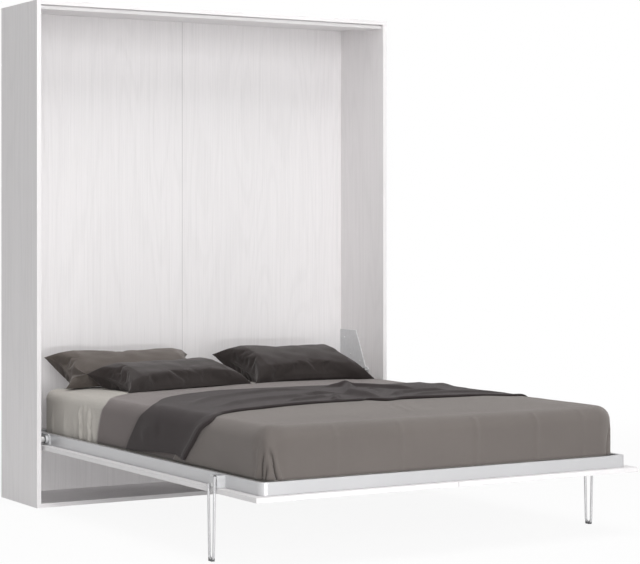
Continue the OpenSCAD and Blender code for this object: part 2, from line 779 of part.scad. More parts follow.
// Rod along +Z from its eye at the origin
module strut_rod(s) {
    color(silver) translate([s * strut_x, anchor_b[0], anchor_b[1]]) rotate([strut_lean + 180, 0, 0])
        difference() {
            union() {
                bar_x(-eye_w / 2, eye_w / 2, 0, 0, eye_r);
                translate([0, 0, eye_r * 0.6]) cylinder(r = rod_r, h = rod_l - eye_r * 0.6, $fn = round_fn);
                translate([0, 0, rod_l - piston_t])
                    cylinder(r = tube_r - tube_wall - run_gap, h = piston_t, $fn = round_fn);
            }
            bar_x(-eye_w, eye_w, 0, 0, strut_pin_r + run_gap);
        }
}

module left_strut_cylinder() strut_cylinder(-1);
module right_strut_cylinder() strut_cylinder(1);
module left_strut_rod() strut_rod(-1);
module right_strut_rod() strut_rod(1);

// Bedding

// A closed mesh over a grid of outer points and a grid of inner points of the same size
module shell_mesh(outer, inner) {
    rows = len(outer);
    cols = len(outer[0]);
    pts = concat([for (r = outer) for (p = r) p], [for (r = inner) for (p = r) p]);
    n = rows * cols;
    function at(layer, i, j) = layer * n + i * cols + j;
    faces = concat(
        [for (i = [0 : rows - 2], j = [0 : cols - 2]) each [
            [at(0, i, j), at(0, i, j + 1), at(0, i + 1, j + 1)],
            [at(0, i, j), at(0, i + 1, j + 1), at(0, i + 1, j)],
            [at(1, i, j), at(1, i + 1, j + 1), at(1, i, j + 1)],
            [at(1, i, j), at(1, i + 1, j), at(1, i + 1, j + 1)],
        ]],
        [for (i = [0 : rows - 2]) each [
            [at(0, i, 0), at(0, i + 1, 0), at(1, i + 1, 0)],
            [at(0, i, 0), at(1, i + 1, 0), at(1, i, 0)],
            [at(0, i, cols - 1), at(1, i + 1, cols - 1), at(0, i + 1, cols - 1)],
            [at(0, i, cols - 1), at(1, i, cols - 1), at(1, i + 1, cols - 1)],
        ]],
        [for (j = [0 : cols - 2]) each [
            [at(0, 0, j), at(1, 0, j + 1), at(0, 0, j + 1)],
            [at(0, 0, j), at(1, 0, j), at(1, 0, j + 1)],
            [at(0, rows - 1, j), at(0, rows - 1, j + 1), at(1, rows - 1, j + 1)],
            [at(0, rows - 1, j), at(1, rows - 1, j + 1), at(1, rows - 1, j)],
        ]]
    );
    polyhedron(pts, faces, convexity = 6);
}

// Flat part of the mattress's top, and the cloth's length from the bend to its hem
flat_x = mattress_w / 2 - edge_r;
flat_y = mattress_l - edge_r;
bend_len = edge_r * PI / 2;
hem_z = rail_top + hem_lift;
hang_len = mattress_top - edge_r - hem_z;
cloth_reach = bend_len + hang_len;

// Where a point of a cloth lies: s runs across from the middle, t from the head end to the foot,
// both along the cloth, and lift is its height over the mattress's skin
function drape(s, t, lift) =
    let (dx = max(0, abs(s) - flat_x), dy = max(0, t - flat_y), m = max(dx, dy),
         h = max(0.001, sqrt(dx * dx + dy * dy)), turn = min(90, m / bend_len * 90),
         out = (edge_r + lift) * sin(turn),
         rise = crown * min(1, max(0, 4 - 4 * abs(s) / flat_x)))
    [sign(s) * (min(abs(s), flat_x) + out * dx / h),
     -head_clear - min(t, flat_y) - out * dy / h,
     mattress_top + rise - edge_r + (edge_r + lift) * cos(turn) - max(0, m - bend_len)];

// Stations across a cloth, from its left hem to its right hem
half_stations = concat(
    [for (k = [0 : 4]) flat_x * k / 4],
    [for (k = [1 : 4]) flat_x + bend_len * k / 4],
    [for (k = [1 : 3]) flat_x + bend_len + hang_len * k / 3]
);
stations = concat([for (k = [len(half_stations) - 1 : -1 : 1]) -half_stations[k]], half_stations);

// Each cloth's edge on the head side: how far it lies from the head end, by the place across
edge_in = flat_x + bend_len;
edge_out = flat_x + cloth_reach;
sheet_edge = [[-edge_out, 600], [-edge_in, 645], [-770, 700], [-700, 580], [-500, 500], [0, 420],
              [300, 400], [edge_out, 400]];
blanket_edge = [[-edge_out, 890], [-edge_in, 1010], [-790, 1060], [-640, 880], [-377, 722], [-100, 680],
                [377, 710], [edge_out, 700]];
cover_edge = [[-edge_out, 1400], [-edge_in, 1530], [-790, 1600], [-700, 1515], [-518, 1460], [-345, 1400],
              [-200, 1370], [58, 1350], [192, 1400], [377, 1460], [566, 1495], [edge_in, 1560], [edge_out, 1520]];

// Soft vertical folds on the part of a cloth that hangs
function fold_at(s, t) =
    let (hang = max(abs(s) - flat_x - bend_len, t - flat_y - bend_len, 0) / hang_len)
    3 * hang * (0.5 + 0.5 * sin(max(abs(s) - flat_x, 0) > max(t - flat_y, 0) ? t * 1.1 : s * 1.3));

// Band of cloth between two edges
module cloth_band(edge_a, edge_b, thick) {
    steps = 4;
    function grid(lift, folds) = [for (i = [0 : steps]) [for (s = stations)
        let (t = lookup(s, edge_a) + (lookup(s, edge_b) - 1 - lookup(s, edge_a)) * i / steps)
        drape(s, t, lift + folds * fold_at(s, t))]];
    shell_mesh(grid(thick, 1), grid(seat, 0));
}

module top_sheet() {
    color(band_grey) cloth_band(sheet_edge, blanket_edge, sheet_t);
}

module blanket() {
    color(charcoal) cloth_band(blanket_edge, cover_edge, blanket_t);
}

module bed_cover() {
    down = concat([for (k = [1 : 4]) flat_y + bend_len * k / 4],
                  [for (k = [1 : 3]) flat_y + bend_len + hang_len * k / 3]);
    function t_at(s, i) = i <= 4 ? lookup(s, cover_edge) + (flat_y - lookup(s, cover_edge)) * i / 4 : down[i - 5];
    function grid(lift, folds) = [for (i = [0 : 4 + len(down)]) [for (s = stations)
        drape(s, t_at(s, i), lift + folds * fold_at(s, t_at(s, i)))]];
    color(cover_grey) shell_mesh(grid(cover_t, 1), grid(seat, 0));
}

// One level of the mattress: a rounded rectangle drawn in by a margin
function mattress_ring(margin, z, corner = 60, steps = 6) =
    let (r = max(corner - margin, 4), x = mattress_w / 2 - margin - r, y = mattress_l / 2 - margin - r)
    [for (q = [0 : 3]) for (k = [0 : steps])
        let (a = q * 90 + k * 90 / steps, cx = (q == 0 || q == 3) ? x : -x, cy = q < 2 ? y : -y)
        [cx + r * cos(a), cy + r * sin(a) - head_clear - mattress_l / 2, z]];

module mattress() {
    low_r = 20;
    levels = concat(
        [for (a = [0 : 30 : 90]) [low_r * (1 - sin(a)), mattress_z + low_r * (1 - cos(a))]],
        [for (a = [0 : 22.5 : 90]) [edge_r * (1 - cos(a)), mattress_top - edge_r * (1 - sin(a))]],
        [[edge_r + flat_x / 4, mattress_top + crown]]
    );
    rings = [for (v = levels) mattress_ring(v[0], v[1])];
    n = len(rings[0]);
    count = len(rings);
    pts = [for (r = rings) for (p = r) p];
    faces = concat(
        [for (i = [0 : count - 2], j = [0 : n - 1]) let (k = (j + 1) % n) each [
            [i * n + j, (i + 1) * n + k, i * n + k], [i * n + j, (i + 1) * n + j, (i + 1) * n + k]]],
        [[for (j = [0 : n - 1]) j], [for (j = [n - 1 : -1 : 0]) (count - 1) * n + j]]
    );
    color(sheet_taupe) polyhedron(pts, faces, convexity = 4);
}

// Plump pillow centred on the origin, flat in X and Y, its sides drawn in between the corners
module pillow_form(w, l, t, grow = 0) {
    n = 14;
    function u_at(k) = let (u = -1 + 2 * k / n) sign(u) * (1 - pow(1 - abs(u), 1.35));
    function plan(u, v) = [
        (w / 2 + grow - pillow_waist * (1 - v * v) * abs(u)) * u,
        (l / 2 + grow - pillow_waist * 0.7 * (1 - u * u) * abs(v)) * v];
    function swell(u, v) = (t / 2 + grow) * pow(max(0, 1 - u * u), 0.42) * pow(max(0, 1 - v * v), 0.42);
    function sheet_of(q) = [for (i = [0 : n]) [for (j = [0 : n])
        let (u = u_at(i), v = u_at(j), p = plan(u, v)) [p[0], p[1], q * (swell(u, v) + 1.5)]]];
    shell_mesh(sheet_of(1), sheet_of(-1));
}

// Resting places of the pillows: [x, y, height of the centre over the mattress], [tilt, turn]
left_back_at = [[-455, -300, 82], [14, 1]];
left_front_at = [[-262, -385, 74], [13, 11]];
right_at = [[392, -368, 80], [16, -8]];

module placed(at) {
    translate([at[0][0], at[0][1], mattress_top + at[0][2]])
        rotate([0, 0, at[1][1]]) rotate([at[1][0], 0, 0]) children();
}

// The room under a pillow that the mattress takes, and below that line the turned-down sheet too
module bed_below() {
    sheet_y = -head_clear - min([for (e = sheet_edge) e[1]]) + 2;
    box([-mattress_w, -mattress_l, 0], [mattress_w, 100, mattress_top + crown + seat]);
    box([-mattress_w, -mattress_l, 0], [mattress_w, sheet_y, mattress_top + crown + sheet_t + 2 * seat]);
}

module pillow_left_back() {
    color(band_grey) difference() {
        placed(left_back_at) pillow_form(pillow_w - 50, pillow_l - 30, pillow_t);
        union() {
            placed(left_front_at) pillow_form(pillow_w, pillow_l, pillow_t, 0.5);
            bed_below();
        }
    }
}

module pillow_left_front() {
    color(charcoal) difference() {
        placed(left_front_at) pillow_form(pillow_w, pillow_l, pillow_t);
        bed_below();
    }
}

module pillow_right() {
    color(charcoal) difference() {
        placed(right_at) pillow_form(pillow_right_w, pillow_l, pillow_t);
        union() {
            placed(left_front_at) pillow_form(pillow_w, pillow_l, pillow_t, 0.5);
            bed_below();
        }
    }
}

left_side_panel();
right_side_panel();
top_panel();
bottom_panel();
back_panel_left();
back_panel_right();
back_join_strip();
top_stop_rail();
cam_locks();
cam_bolts();
wall_brackets();
wall_bracket_screws();
left_hinge_plate();
right_hinge_plate();
hinge_plate_screws();
pivot_axles();
strut_upper_pins();
front_panel_left();
front_panel_right();
left_side_rail();
right_side_rail();
foot_rail();
head_rail();
centre_beam();
slats_left();
slats_right();
slat_holders();
frame_angles();
frame_angle_screws();
left_bed_arm();
right_bed_arm();
bed_arm_bolts();
pivot_bushes();
strut_lower_pins();
left_leg_bracket();
right_leg_bracket();
leg_pivot_bolts();
mattress();
top_sheet();
blanket();
bed_cover();
pillow_left_back();
pillow_left_front();
pillow_right();
left_leg();
left_leg_cap();
left_leg_glide();
right_leg();
right_leg_cap();
right_leg_glide();
left_strut_cylinder();
left_strut_rod();
right_strut_cylinder();
right_strut_rod();
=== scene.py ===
"""Wall bed, shown open: the finishes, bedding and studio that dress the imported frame."""

import json
import logging
import math
from collections.abc import Callable, Iterable, Sequence
from dataclasses import dataclass, field
from enum import Enum
from typing import NamedTuple

import bmesh
import bpy
from bmesh.types import BMesh, BMFace
from bpy.types import Material, NodeSocket, NodeTree, Object
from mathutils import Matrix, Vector, noise
from mathutils.bvhtree import BVHTree


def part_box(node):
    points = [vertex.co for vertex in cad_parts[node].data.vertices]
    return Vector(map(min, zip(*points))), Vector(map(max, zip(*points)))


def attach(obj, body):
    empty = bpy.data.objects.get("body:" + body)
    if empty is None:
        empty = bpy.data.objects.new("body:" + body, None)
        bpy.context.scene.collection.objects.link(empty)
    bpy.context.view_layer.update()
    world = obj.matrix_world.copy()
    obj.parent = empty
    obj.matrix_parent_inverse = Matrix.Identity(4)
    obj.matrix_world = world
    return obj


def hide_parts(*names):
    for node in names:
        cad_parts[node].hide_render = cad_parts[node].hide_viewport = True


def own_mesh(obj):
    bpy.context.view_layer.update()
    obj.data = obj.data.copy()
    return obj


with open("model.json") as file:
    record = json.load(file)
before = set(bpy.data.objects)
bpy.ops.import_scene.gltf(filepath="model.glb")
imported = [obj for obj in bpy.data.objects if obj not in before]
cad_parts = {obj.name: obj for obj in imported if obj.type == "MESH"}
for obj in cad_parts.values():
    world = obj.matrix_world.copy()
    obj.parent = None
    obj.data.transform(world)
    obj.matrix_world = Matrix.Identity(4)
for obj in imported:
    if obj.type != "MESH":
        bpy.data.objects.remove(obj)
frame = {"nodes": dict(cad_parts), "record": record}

LOG = logging.getLogger("wall_bed")
Colour = tuple[float, float, float]
Point = tuple[float, float, float]
FlatPoint = tuple[float, float]

QUARTER_TURN = math.pi / 2
FULL_TURN = 2 * math.pi
WHITE: Colour = (1.0, 1.0, 1.0)
# Height of the hems that hang inside the rails, in the row frame.
HEM_HEIGHT = 0.317


def smooth(value: float) -> float:
    """Eases a value from 0 to 1, flat at both ends and held beyond them."""
    value = min(1.0, max(0.0, value))
    return value * value * (3 - 2 * value)


def between(value: float, low: float, high: float) -> float:
    """The eased share of the way that a value has gone from low to high."""
    return smooth((value - low) / (high - low))


def bell(value: float, width: float) -> float:
    """A bell curve of height 1 round nought."""
    return math.exp(-((value / width) ** 2))


# Shader maths


class Field:
    """A value that varies over a surface: an output socket whose arithmetic adds Math nodes."""

    def __init__(self, nodes: "Nodes", socket: NodeSocket) -> None:
        """Keeps the socket and the nodes that it belongs to."""
        self.nodes = nodes
        self.socket = socket

    def math(self, operation: str, *values: "Field | float") -> "Field":
        """Adds one Math node over the values and gives its result."""
        return self.nodes.add("ShaderNodeMath", {"operation": operation}, dict(enumerate(values)))

    def __add__(self, other: "Field | float") -> "Field":
        """Sum."""
        return self.math("ADD", self, other)

    __radd__ = __add__

    def __sub__(self, other: "Field | float") -> "Field":
        """Difference."""
        return self.math("SUBTRACT", self, other)

    def __rsub__(self, other: "Field | float") -> "Field":
        """Difference, taken from a number."""
        return self.math("SUBTRACT", other, self)

    def __mul__(self, other: "Field | float") -> "Field":
        """Product."""
        return self.math("MULTIPLY", self, other)

    __rmul__ = __mul__

    def __pow__(self, other: float) -> "Field":
        """Power."""
        return self.math("POWER", self, other)

    def __abs__(self) -> "Field":
        """Size without the sign."""
        return self.math("ABSOLUTE", self)

    def sine(self) -> "Field":
        """Sine of the value in radians."""
        return self.math("SINE", self)

    def most(self, other: "Field | float") -> "Field":
        """The larger of two values."""
        return self.math("MAXIMUM", self, other)

    def eased(self, low: float, high: float) -> "Field":
        """Runs smoothly from 0 at low to 1 at high."""
        values = {"Value": self, "From Min": low, "From Max": high}
        return self.nodes.add("ShaderNodeMapRange", {"interpolation_type": "SMOOTHSTEP"}, values)


class Nodes:
    """A node tree whose outputs are handled as fields."""

    def __init__(self, tree: NodeTree) -> None:
        """Takes on a tree."""
        self.tree = tree

    def feed(self, socket: NodeSocket, value: "Field | float | Sequence[float]") -> None:
        """Fills an input.

        Args:
            socket: the input.
            value: a field to link to it, or a number, vector or colour to set on it.
        """
        if isinstance(value, Field):
            self.tree.links.new(value.socket, socket)
        elif isinstance(value, (int, float)):
            socket.default_value = value
        else:
            opaque = (1.0,) if socket.type == "RGBA" and len(value) == 3 else ()
            socket.default_value = tuple(value) + opaque

    def add(self, kind: str, settings: dict | None = None, inputs: dict | None = None,
            output: int | str = 0) -> Field:
        """Adds one node.

        Args:
            kind: the node's type.
            settings: its own settings.
            inputs: socket name or number to a number, vector, colour or field.
            output: the socket that is given back.

        Returns:
            The chosen output as a field.
        """
        node = self.tree.nodes.new(kind)
        for key, value in (settings or {}).items():
            setattr(node, key, value)
        for key, value in (inputs or {}).items():
            self.feed(node.inputs[key], value)
        return Field(self, node.outputs[output])

    def seen(self) -> Field:
        """Tells the rays that see a surface from those that carry its light to things.

        Returns:
            1 where the surface is seen, directly or in a reflection, and 0 elsewhere.
        """
        paths = self.add("ShaderNodeLightPath").socket.node.outputs
        rays = [Field(self, paths[f"Is {way} Ray"]) for way in ("Camera", "Glossy", "Transmission")]
        return rays[0].most(rays[1]).most(rays[2])

    def end(self, share: Field, real: Field, shown: Field) -> None:
        """Ends the tree in a blend of what lights things and, by a share, of what is seen."""
        blend = self.add("ShaderNodeMixShader", None, {0: share, 1: real, 2: shown})
        self.feed(self.tree.get_output_node("ALL").inputs["Surface"], blend)


class Shader(Nodes):
    """The node tree of one finish, built round a single Principled shader."""

    def __init__(self, name: str, constants: dict[str, float | Colour]) -> None:
        """Starts a material.

        Args:
            name: the material's name.
            constants: socket name to the number or colour that is the same all over.
        """
        self.material = bpy.data.materials.new(name)
        self.material.use_nodes = True
        super().__init__(self.material.node_tree)
        self.surface = self.tree.nodes["Principled BSDF"]
        self.dress(constants)

    def dress(self, values: dict[str, Field | float | Colour]) -> None:
        """Sets or links sockets of the Principled shader, by their names."""
        for key, value in values.items():
            self.feed(self.surface.inputs[key], value)

    def finish(self, colour: Field, rough: Field, normal: Field) -> Material:
        """Links the three fields that every finish has, and gives the material."""
        self.dress({"Base Color": colour, "Roughness": rough, "Normal": normal})
        return self.material

    def place(self, scale: Sequence[float] = (1, 1, 1), source: Field | None = None) -> Field:
        """Coordinates in metres, each axis stretched: a source's, or else the Object's own."""
        start = source or self.add("ShaderNodeTexCoord", output="Object")
        return self.add("ShaderNodeMapping", None, {"Vector": start, "Scale": scale})

    def clouds(self, where: Field, scale: float, detail: float = 3, rough: float = 0.5) -> Field:
        """Soft noise from 0 to 1: its spots to the metre, its finer layers and their share."""
        values = {"Vector": where, "Scale": scale, "Detail": detail, "Roughness": rough}
        return self.add("ShaderNodeTexNoise", None, values)

    def split(self, where: Field) -> tuple[Field, Field, Field]:
        """The three parts of a vector."""
        node = self.add("ShaderNodeSeparateXYZ", None, {0: where}).socket.node
        return tuple(Field(self, socket) for socket in node.outputs)

    def mix(self, share: Field | float, low: Field | Colour, high: Field | Colour) -> Field:
        """A colour between two, by a share from 0 to 1."""
        return self.add("ShaderNodeMix", {"data_type": "RGBA"}, {0: share, 6: low, 7: high}, 2)

    def rounded(self, radius: float) -> Field:
        """The normal of edges that are rounded by a radius."""
        return self.add("ShaderNodeBevel", {"samples": 4}, {"Radius": radius})

    def bump(self, height: Field, depth: float, strength: float,
             under: Field | None = None) -> Field:
        """A normal from a height of 0 to 1 and its depth in metres, added to one under it."""
        values = {"Height": height, "Distance": depth, "Strength": strength}
        return self.add("ShaderNodeBump", None, values | ({"Normal": under} if under else {}))


# Finishes


class Grain(Enum):
    """The axis that the grain of a board or the lines of a metal run along."""

    ACROSS = 0
    DEEP = 1
    UPRIGHT = 2

    def stretch(self, along: float, over: float) -> tuple[float, float, float]:
        """Scale of a pattern that is long on the grain's own axis."""
        return tuple(along if axis == self.value else over for axis in range(3))


@dataclass(frozen=True)
class Finish:
    """What every finish has: the record's slot and a mean colour."""

    slot: str
    colour: Colour

    def tint(self, share: float) -> Colour:
        """The mean colour made lighter or darker by a share."""
        return tuple(min(1.0, part * share) for part in self.colour)

    def shade(self, shader: Shader, tone: Field, low: float, high: float) -> Field:
        """The colour by a tone from 0 to 1, which takes it from the low tint to the high one."""
        return shader.mix(tone, self.tint(low), self.tint(high))


@dataclass(frozen=True)
class AshBoard(Finish):
    """Melamine board with the pressed grain of ash."""

    grain: Grain
    contrast: float = 1.0

    def build(self) -> Material:
        """Builds the board's material: long streaks, arched figure, pores and softened edges.

        Returns:
            The material.
        """
        shader = Shader(f"{self.slot}_{self.grain.name.lower()}", {"Specular IOR Level": 0.4})
        streaks = shader.clouds(shader.place(self.grain.stretch(0.8, 75)), 1.6, 5, 0.62)
        pores = shader.clouds(shader.place(self.grain.stretch(4.5, 300)), 1.5, 2).eased(0.56, 0.7)
        bend = shader.clouds(shader.place(self.grain.stretch(0.42, 3.6)), 1.0, 2, 0.45)
        figure = (bend * 110 + streaks * 2.0).sine().eased(0.0, 1.0)
        depth = self.contrast
        tone = 0.5 + (streaks - 0.5) * (0.75 * depth)
        tone = tone - figure * (0.10 * depth) - pores * (0.20 * depth)
        colour = self.shade(shader, tone.eased(-0.25, 1.05), 0.88, 1.07)
        if self.grain is not Grain.ACROSS:
            joint = 1 - abs(shader.split(shader.place())[0]).eased(0.0006, 0.0022)
            colour = shader.mix(joint * 0.5, colour, self.tint(0.45))
        relief = 0.6 * streaks - 0.5 * pores - 0.2 * figure
        rough = 0.50 + 0.16 * pores + (streaks - 0.5) * 0.15
        normal = shader.bump(relief, 0.0006, 0.55 * depth, shader.rounded(0.0012))
        return shader.finish(colour, rough, normal)


@dataclass(frozen=True)
class PaintedSteel(Finish):
    """Steel under a fine metallic or plain paint, slightly rubbed and dusty."""

    metal: float
    rough: float
    flake: float = 0.06

    def build(self) -> Material:
        """Builds the paint's material with flakes, a faint orange-peel and handled patches.

        Returns:
            The material.
        """
        constants = {"Metallic": self.metal, "Coat Weight": 0.18, "Coat Roughness": 0.3}
        shader = Shader(self.slot, constants)
        where = shader.place()
        flakes = shader.clouds(where, 1400, 1, 0.6)
        patches = shader.clouds(where, 3.5, 4, 0.55)
        peel = shader.clouds(where, 220, 2)
        tone = 0.5 + (flakes - 0.5) * (8 * self.flake) + (patches - 0.5) * 0.6
        rough = self.rough + (patches - 0.5) * 0.16
        normal = shader.bump(peel, 0.0004, 0.25, shader.rounded(0.0015))
        return shader.finish(self.shade(shader, tone, 0.93, 1.06), rough, normal)


@dataclass(frozen=True)
class BareSteel(Finish):
    """Zinc plated or brushed steel, with the lines of its rolling and a few darker spots."""

    rough: float
    lines: Grain = Grain.UPRIGHT
    metal: float = 0.92

    def build(self) -> Material:
        """Builds the metal's material.

        Returns:
            The material.
        """
        shader = Shader(self.slot, {"Metallic": self.metal})
        brushed = shader.clouds(shader.place(self.lines.stretch(12, 900)), 1, 2, 0.6)
        spots = shader.clouds(shader.place(), 60, 4, 0.6)
        tone = 0.5 + (brushed - 0.5) * 0.7 + (spots - 0.5) * 0.8
        rough = self.rough + (spots - 0.5) * 0.2 + (brushed - 0.5) * 0.1
        colour = self.shade(shader, tone, 0.8, 1.08)
        return shader.finish(colour, rough, shader.bump(brushed, 0.0002, 0.3))


@dataclass(frozen=True)
class MouldedPlastic(Finish):
    """Dark moulded plastic with a fine spark-eroded grain."""

    def build(self) -> Material:
        """Builds the plastic's material.

        Returns:
            The material.
        """
        shader = Shader(self.slot, {"Specular IOR Level": 0.45})
        grain = shader.clouds(shader.place(), 900, 2, 0.6)
        scuffs = shader.clouds(shader.place(), 30, 4, 0.6)
        colour = self.shade(shader, scuffs.eased(0.35, 0.75), 1.0, 1.7)
        return shader.finish(colour, 0.42 + scuffs * 0.25, shader.bump(grain, 0.0002, 0.4))


@dataclass(frozen=True)
class BirchPly(Finish):
    """Sprung birch slat, its grain along the slat and its glued layers in the edges."""

    layer: float = 0.0016

    def build(self) -> Material:
        """Builds the slat's material.

        Returns:
            The material.
        """
        constants = {"Specular IOR Level": 0.45, "Coat Weight": 0.25, "Coat Roughness": 0.35}
        shader = Shader(self.slot, constants)
        streaks = shader.clouds(shader.place(Grain.ACROSS.stretch(3, 130)), 1.2, 5, 0.6)
        height = shader.split(shader.place())[2]
        layers = (height * (FULL_TURN / self.layer)).sine().eased(-0.2, 0.8)
        boards = shader.clouds(shader.place(), 5, 1)
        tone = streaks * 0.8 + boards * 0.35 - layers * 0.12
        colour = self.shade(shader, tone.eased(0.2, 0.95), 0.72, 1.1)
        return shader.finish(colour, 0.42 + streaks * 0.2, shader.bump(streaks, 0.0005, 0.4))


@dataclass(frozen=True)
class Cotton(Finish):
    """Woven cotton whose UV map is the flat cloth in metres, with stitched hems."""

    thread: float = 0.0011
    sheen: float = 0.35
    hem: float = 0.0
    stitch: float = 0.0042

    def build(self) -> Material:
        """Builds the cloth's material: weave, uneven threads, faded folds and stitched hems.

        Returns:
            The material.
        """
        shader = Shader(self.slot, {
            "Sheen Weight": self.sheen, "Sheen Roughness": 0.45, "Specular IOR Level": 0.25,
            "Sheen Tint": tuple(0.30 + 2.0 * part for part in self.colour)})
        flat = shader.add("ShaderNodeUVMap", {"uv_map": "Flat"})
        across, along, _ = shader.split(flat)
        warp, weft = (abs((way * (math.pi / self.thread)).sine()) for way in (across, along))
        slubs = shader.clouds(shader.place((30, 1400, 1), flat), 1, 2, 0.6)
        slubs = slubs + shader.clouds(shader.place((1400, 30, 1), flat), 1, 2, 0.6)
        weave = warp * weft + (slubs - 1.0) * 0.8
        broad = shader.clouds(flat, 2.3)
        tone = 0.5 + (broad - 0.5) * 0.9 + (slubs - 1.0) * 0.7 + (warp * weft - 0.4) * 0.25
        colour = self.shade(shader, tone.eased(-0.1, 1.1), 0.86, 1.15)
        height, depth = weave, 0.0004
        if self.hem:
            gap, run, _ = shader.split(shader.add("ShaderNodeUVMap", {"uv_map": "Edge"}))
            line = 1 - (abs(gap - self.hem) - 0.0004).eased(0.0, 0.0014)
            stitches = (run * (FULL_TURN / self.stitch)).sine().eased(-0.2, 0.5)
            fold = 1 - gap.eased(self.hem - 0.001, self.hem + 0.001)
            colour = shader.mix(line * stitches * 0.55, colour, self.tint(0.55))
            height = weave * 0.35 + fold * 0.5 - line * (1 - stitches * 0.6) * 0.9
            depth = 0.0007
        rough = 0.78 + (slubs - 1.0) * 0.12
        return shader.finish(colour, rough, shader.bump(height, depth, 0.55))


class Finishes:
    """Every finish of the bed, each made once and asked for by its slot."""

    def __init__(self) -> None:
        """Lists the finishes."""
        self.boards = {(board.slot, way): board for way in Grain for board in (
            AshBoard("white_ash_board", (0.808, 0.789, 0.794), way),
            AshBoard("grey_ash_board", (0.76, 0.745, 0.75), way, 0.6))}
        self.plain = {finish.slot: finish for finish in (
            PaintedSteel("silver_paint", (0.53, 0.53, 0.54), 0.35, 0.36),
            BareSteel("grey_steel", (0.66, 0.665, 0.675), 0.42, metal=0.35),
            BareSteel("zinc_steel", (0.66, 0.66, 0.66), 0.30, Grain.ACROSS),
            PaintedSteel("black_paint", (0.02, 0.02, 0.021), 0.0, 0.3, 0.01),
            BareSteel("polished_rod", (0.78, 0.79, 0.80), 0.12),
            MouldedPlastic("dark_plastic", (0.090, 0.090, 0.093)),
            BirchPly("birch_ply", (0.66, 0.49, 0.32)),
            Cotton("taupe_sheet", (0.49, 0.465, 0.43), sheen=0.1),
            Cotton("mid_grey_sheet", (0.083, 0.068, 0.065), sheen=1.0, hem=0.028),
            Cotton("charcoal_blanket", (0.0288, 0.0224, 0.0226), 0.0016, 0.24, hem=0.022),
            Cotton("warm_grey_cover", (0.130, 0.1145, 0.106), sheen=0.6),
            Cotton("taupe_pillow", (0.092, 0.078, 0.069), sheen=0.6, hem=0.006),
            Cotton("charcoal_pillow", (0.0255, 0.0198, 0.0186), sheen=0.6, hem=0.006))}
        self.made: dict[tuple[str, Grain | None], Material] = {}

    def get(self, slot: str, grain: Grain | None = None) -> Material:
        """The material of a slot, made when it is first asked for.

        Args:
            slot: the record's name of the finish.
            grain: the way of the grain, on a board.

        Returns:
            The material.
        """
        way = None if slot in self.plain else grain or Grain.UPRIGHT
        if (slot, way) not in self.made:
            source = self.boards[slot, way] if way else self.plain[slot]
            self.made[slot, way] = source.build()
        return self.made[slot, way]


# Mesh housekeeping


def as_mesh(name: str, mesh: BMesh) -> bpy.types.Mesh:
    """Turns a bmesh into a mesh.

    Args:
        name: the mesh's name.
        mesh: the bmesh; it is freed.

    Returns:
        The mesh.
    """
    data = bpy.data.meshes.new(name)
    mesh.to_mesh(data)
    mesh.free()
    return data


def linked(name: str, data: bpy.types.ID) -> Object:
    """Puts a new object into the scene.

    Args:
        name: the object's name.
        data: the mesh, lamp or camera that it holds.

    Returns:
        The object.
    """
    thing = bpy.data.objects.new(name, data)
    bpy.context.scene.collection.objects.link(thing)
    return thing


def applied(piece: Object) -> BMesh:
    """Applies the modifiers of a piece to a copy of its mesh.

    Args:
        piece: the object; it stays as it is.

    Returns:
        A new bmesh, in world place.
    """
    graph = bpy.context.evaluated_depsgraph_get()
    data = bpy.data.meshes.new_from_object(piece.evaluated_get(graph))
    mesh = bmesh.new()
    mesh.from_mesh(data)
    mesh.transform(piece.matrix_world)
    bpy.data.meshes.remove(data)
    return mesh


def span(values: Iterable[float]) -> float:
    """The distance from the least to the greatest of some values."""
    values = sorted(values)
    return values[-1] - values[0]


# Bedding


@dataclass
class SoftPiece:
    """A piece of bedding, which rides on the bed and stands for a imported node."""

    finishes: Finishes
    name: str
    slot: str
    node: str

    def finished(self, mesh: BMesh) -> Object:
        """Turns a bmesh into the finished piece at the origin.

        Args:
            mesh: the shape in the row frame; it is freed.

        Returns:
            The new object.
        """
        for face in mesh.faces:
            face.smooth = True
        data = as_mesh(self.name, mesh)
        data.materials.append(self.finishes.get(self.slot))
        piece = linked(self.name, data)
        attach(piece, "bed")
        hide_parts(self.node)
        LOG.info("%s: %d faces, rides on the bed", self.name, len(data.polygons))
        return piece


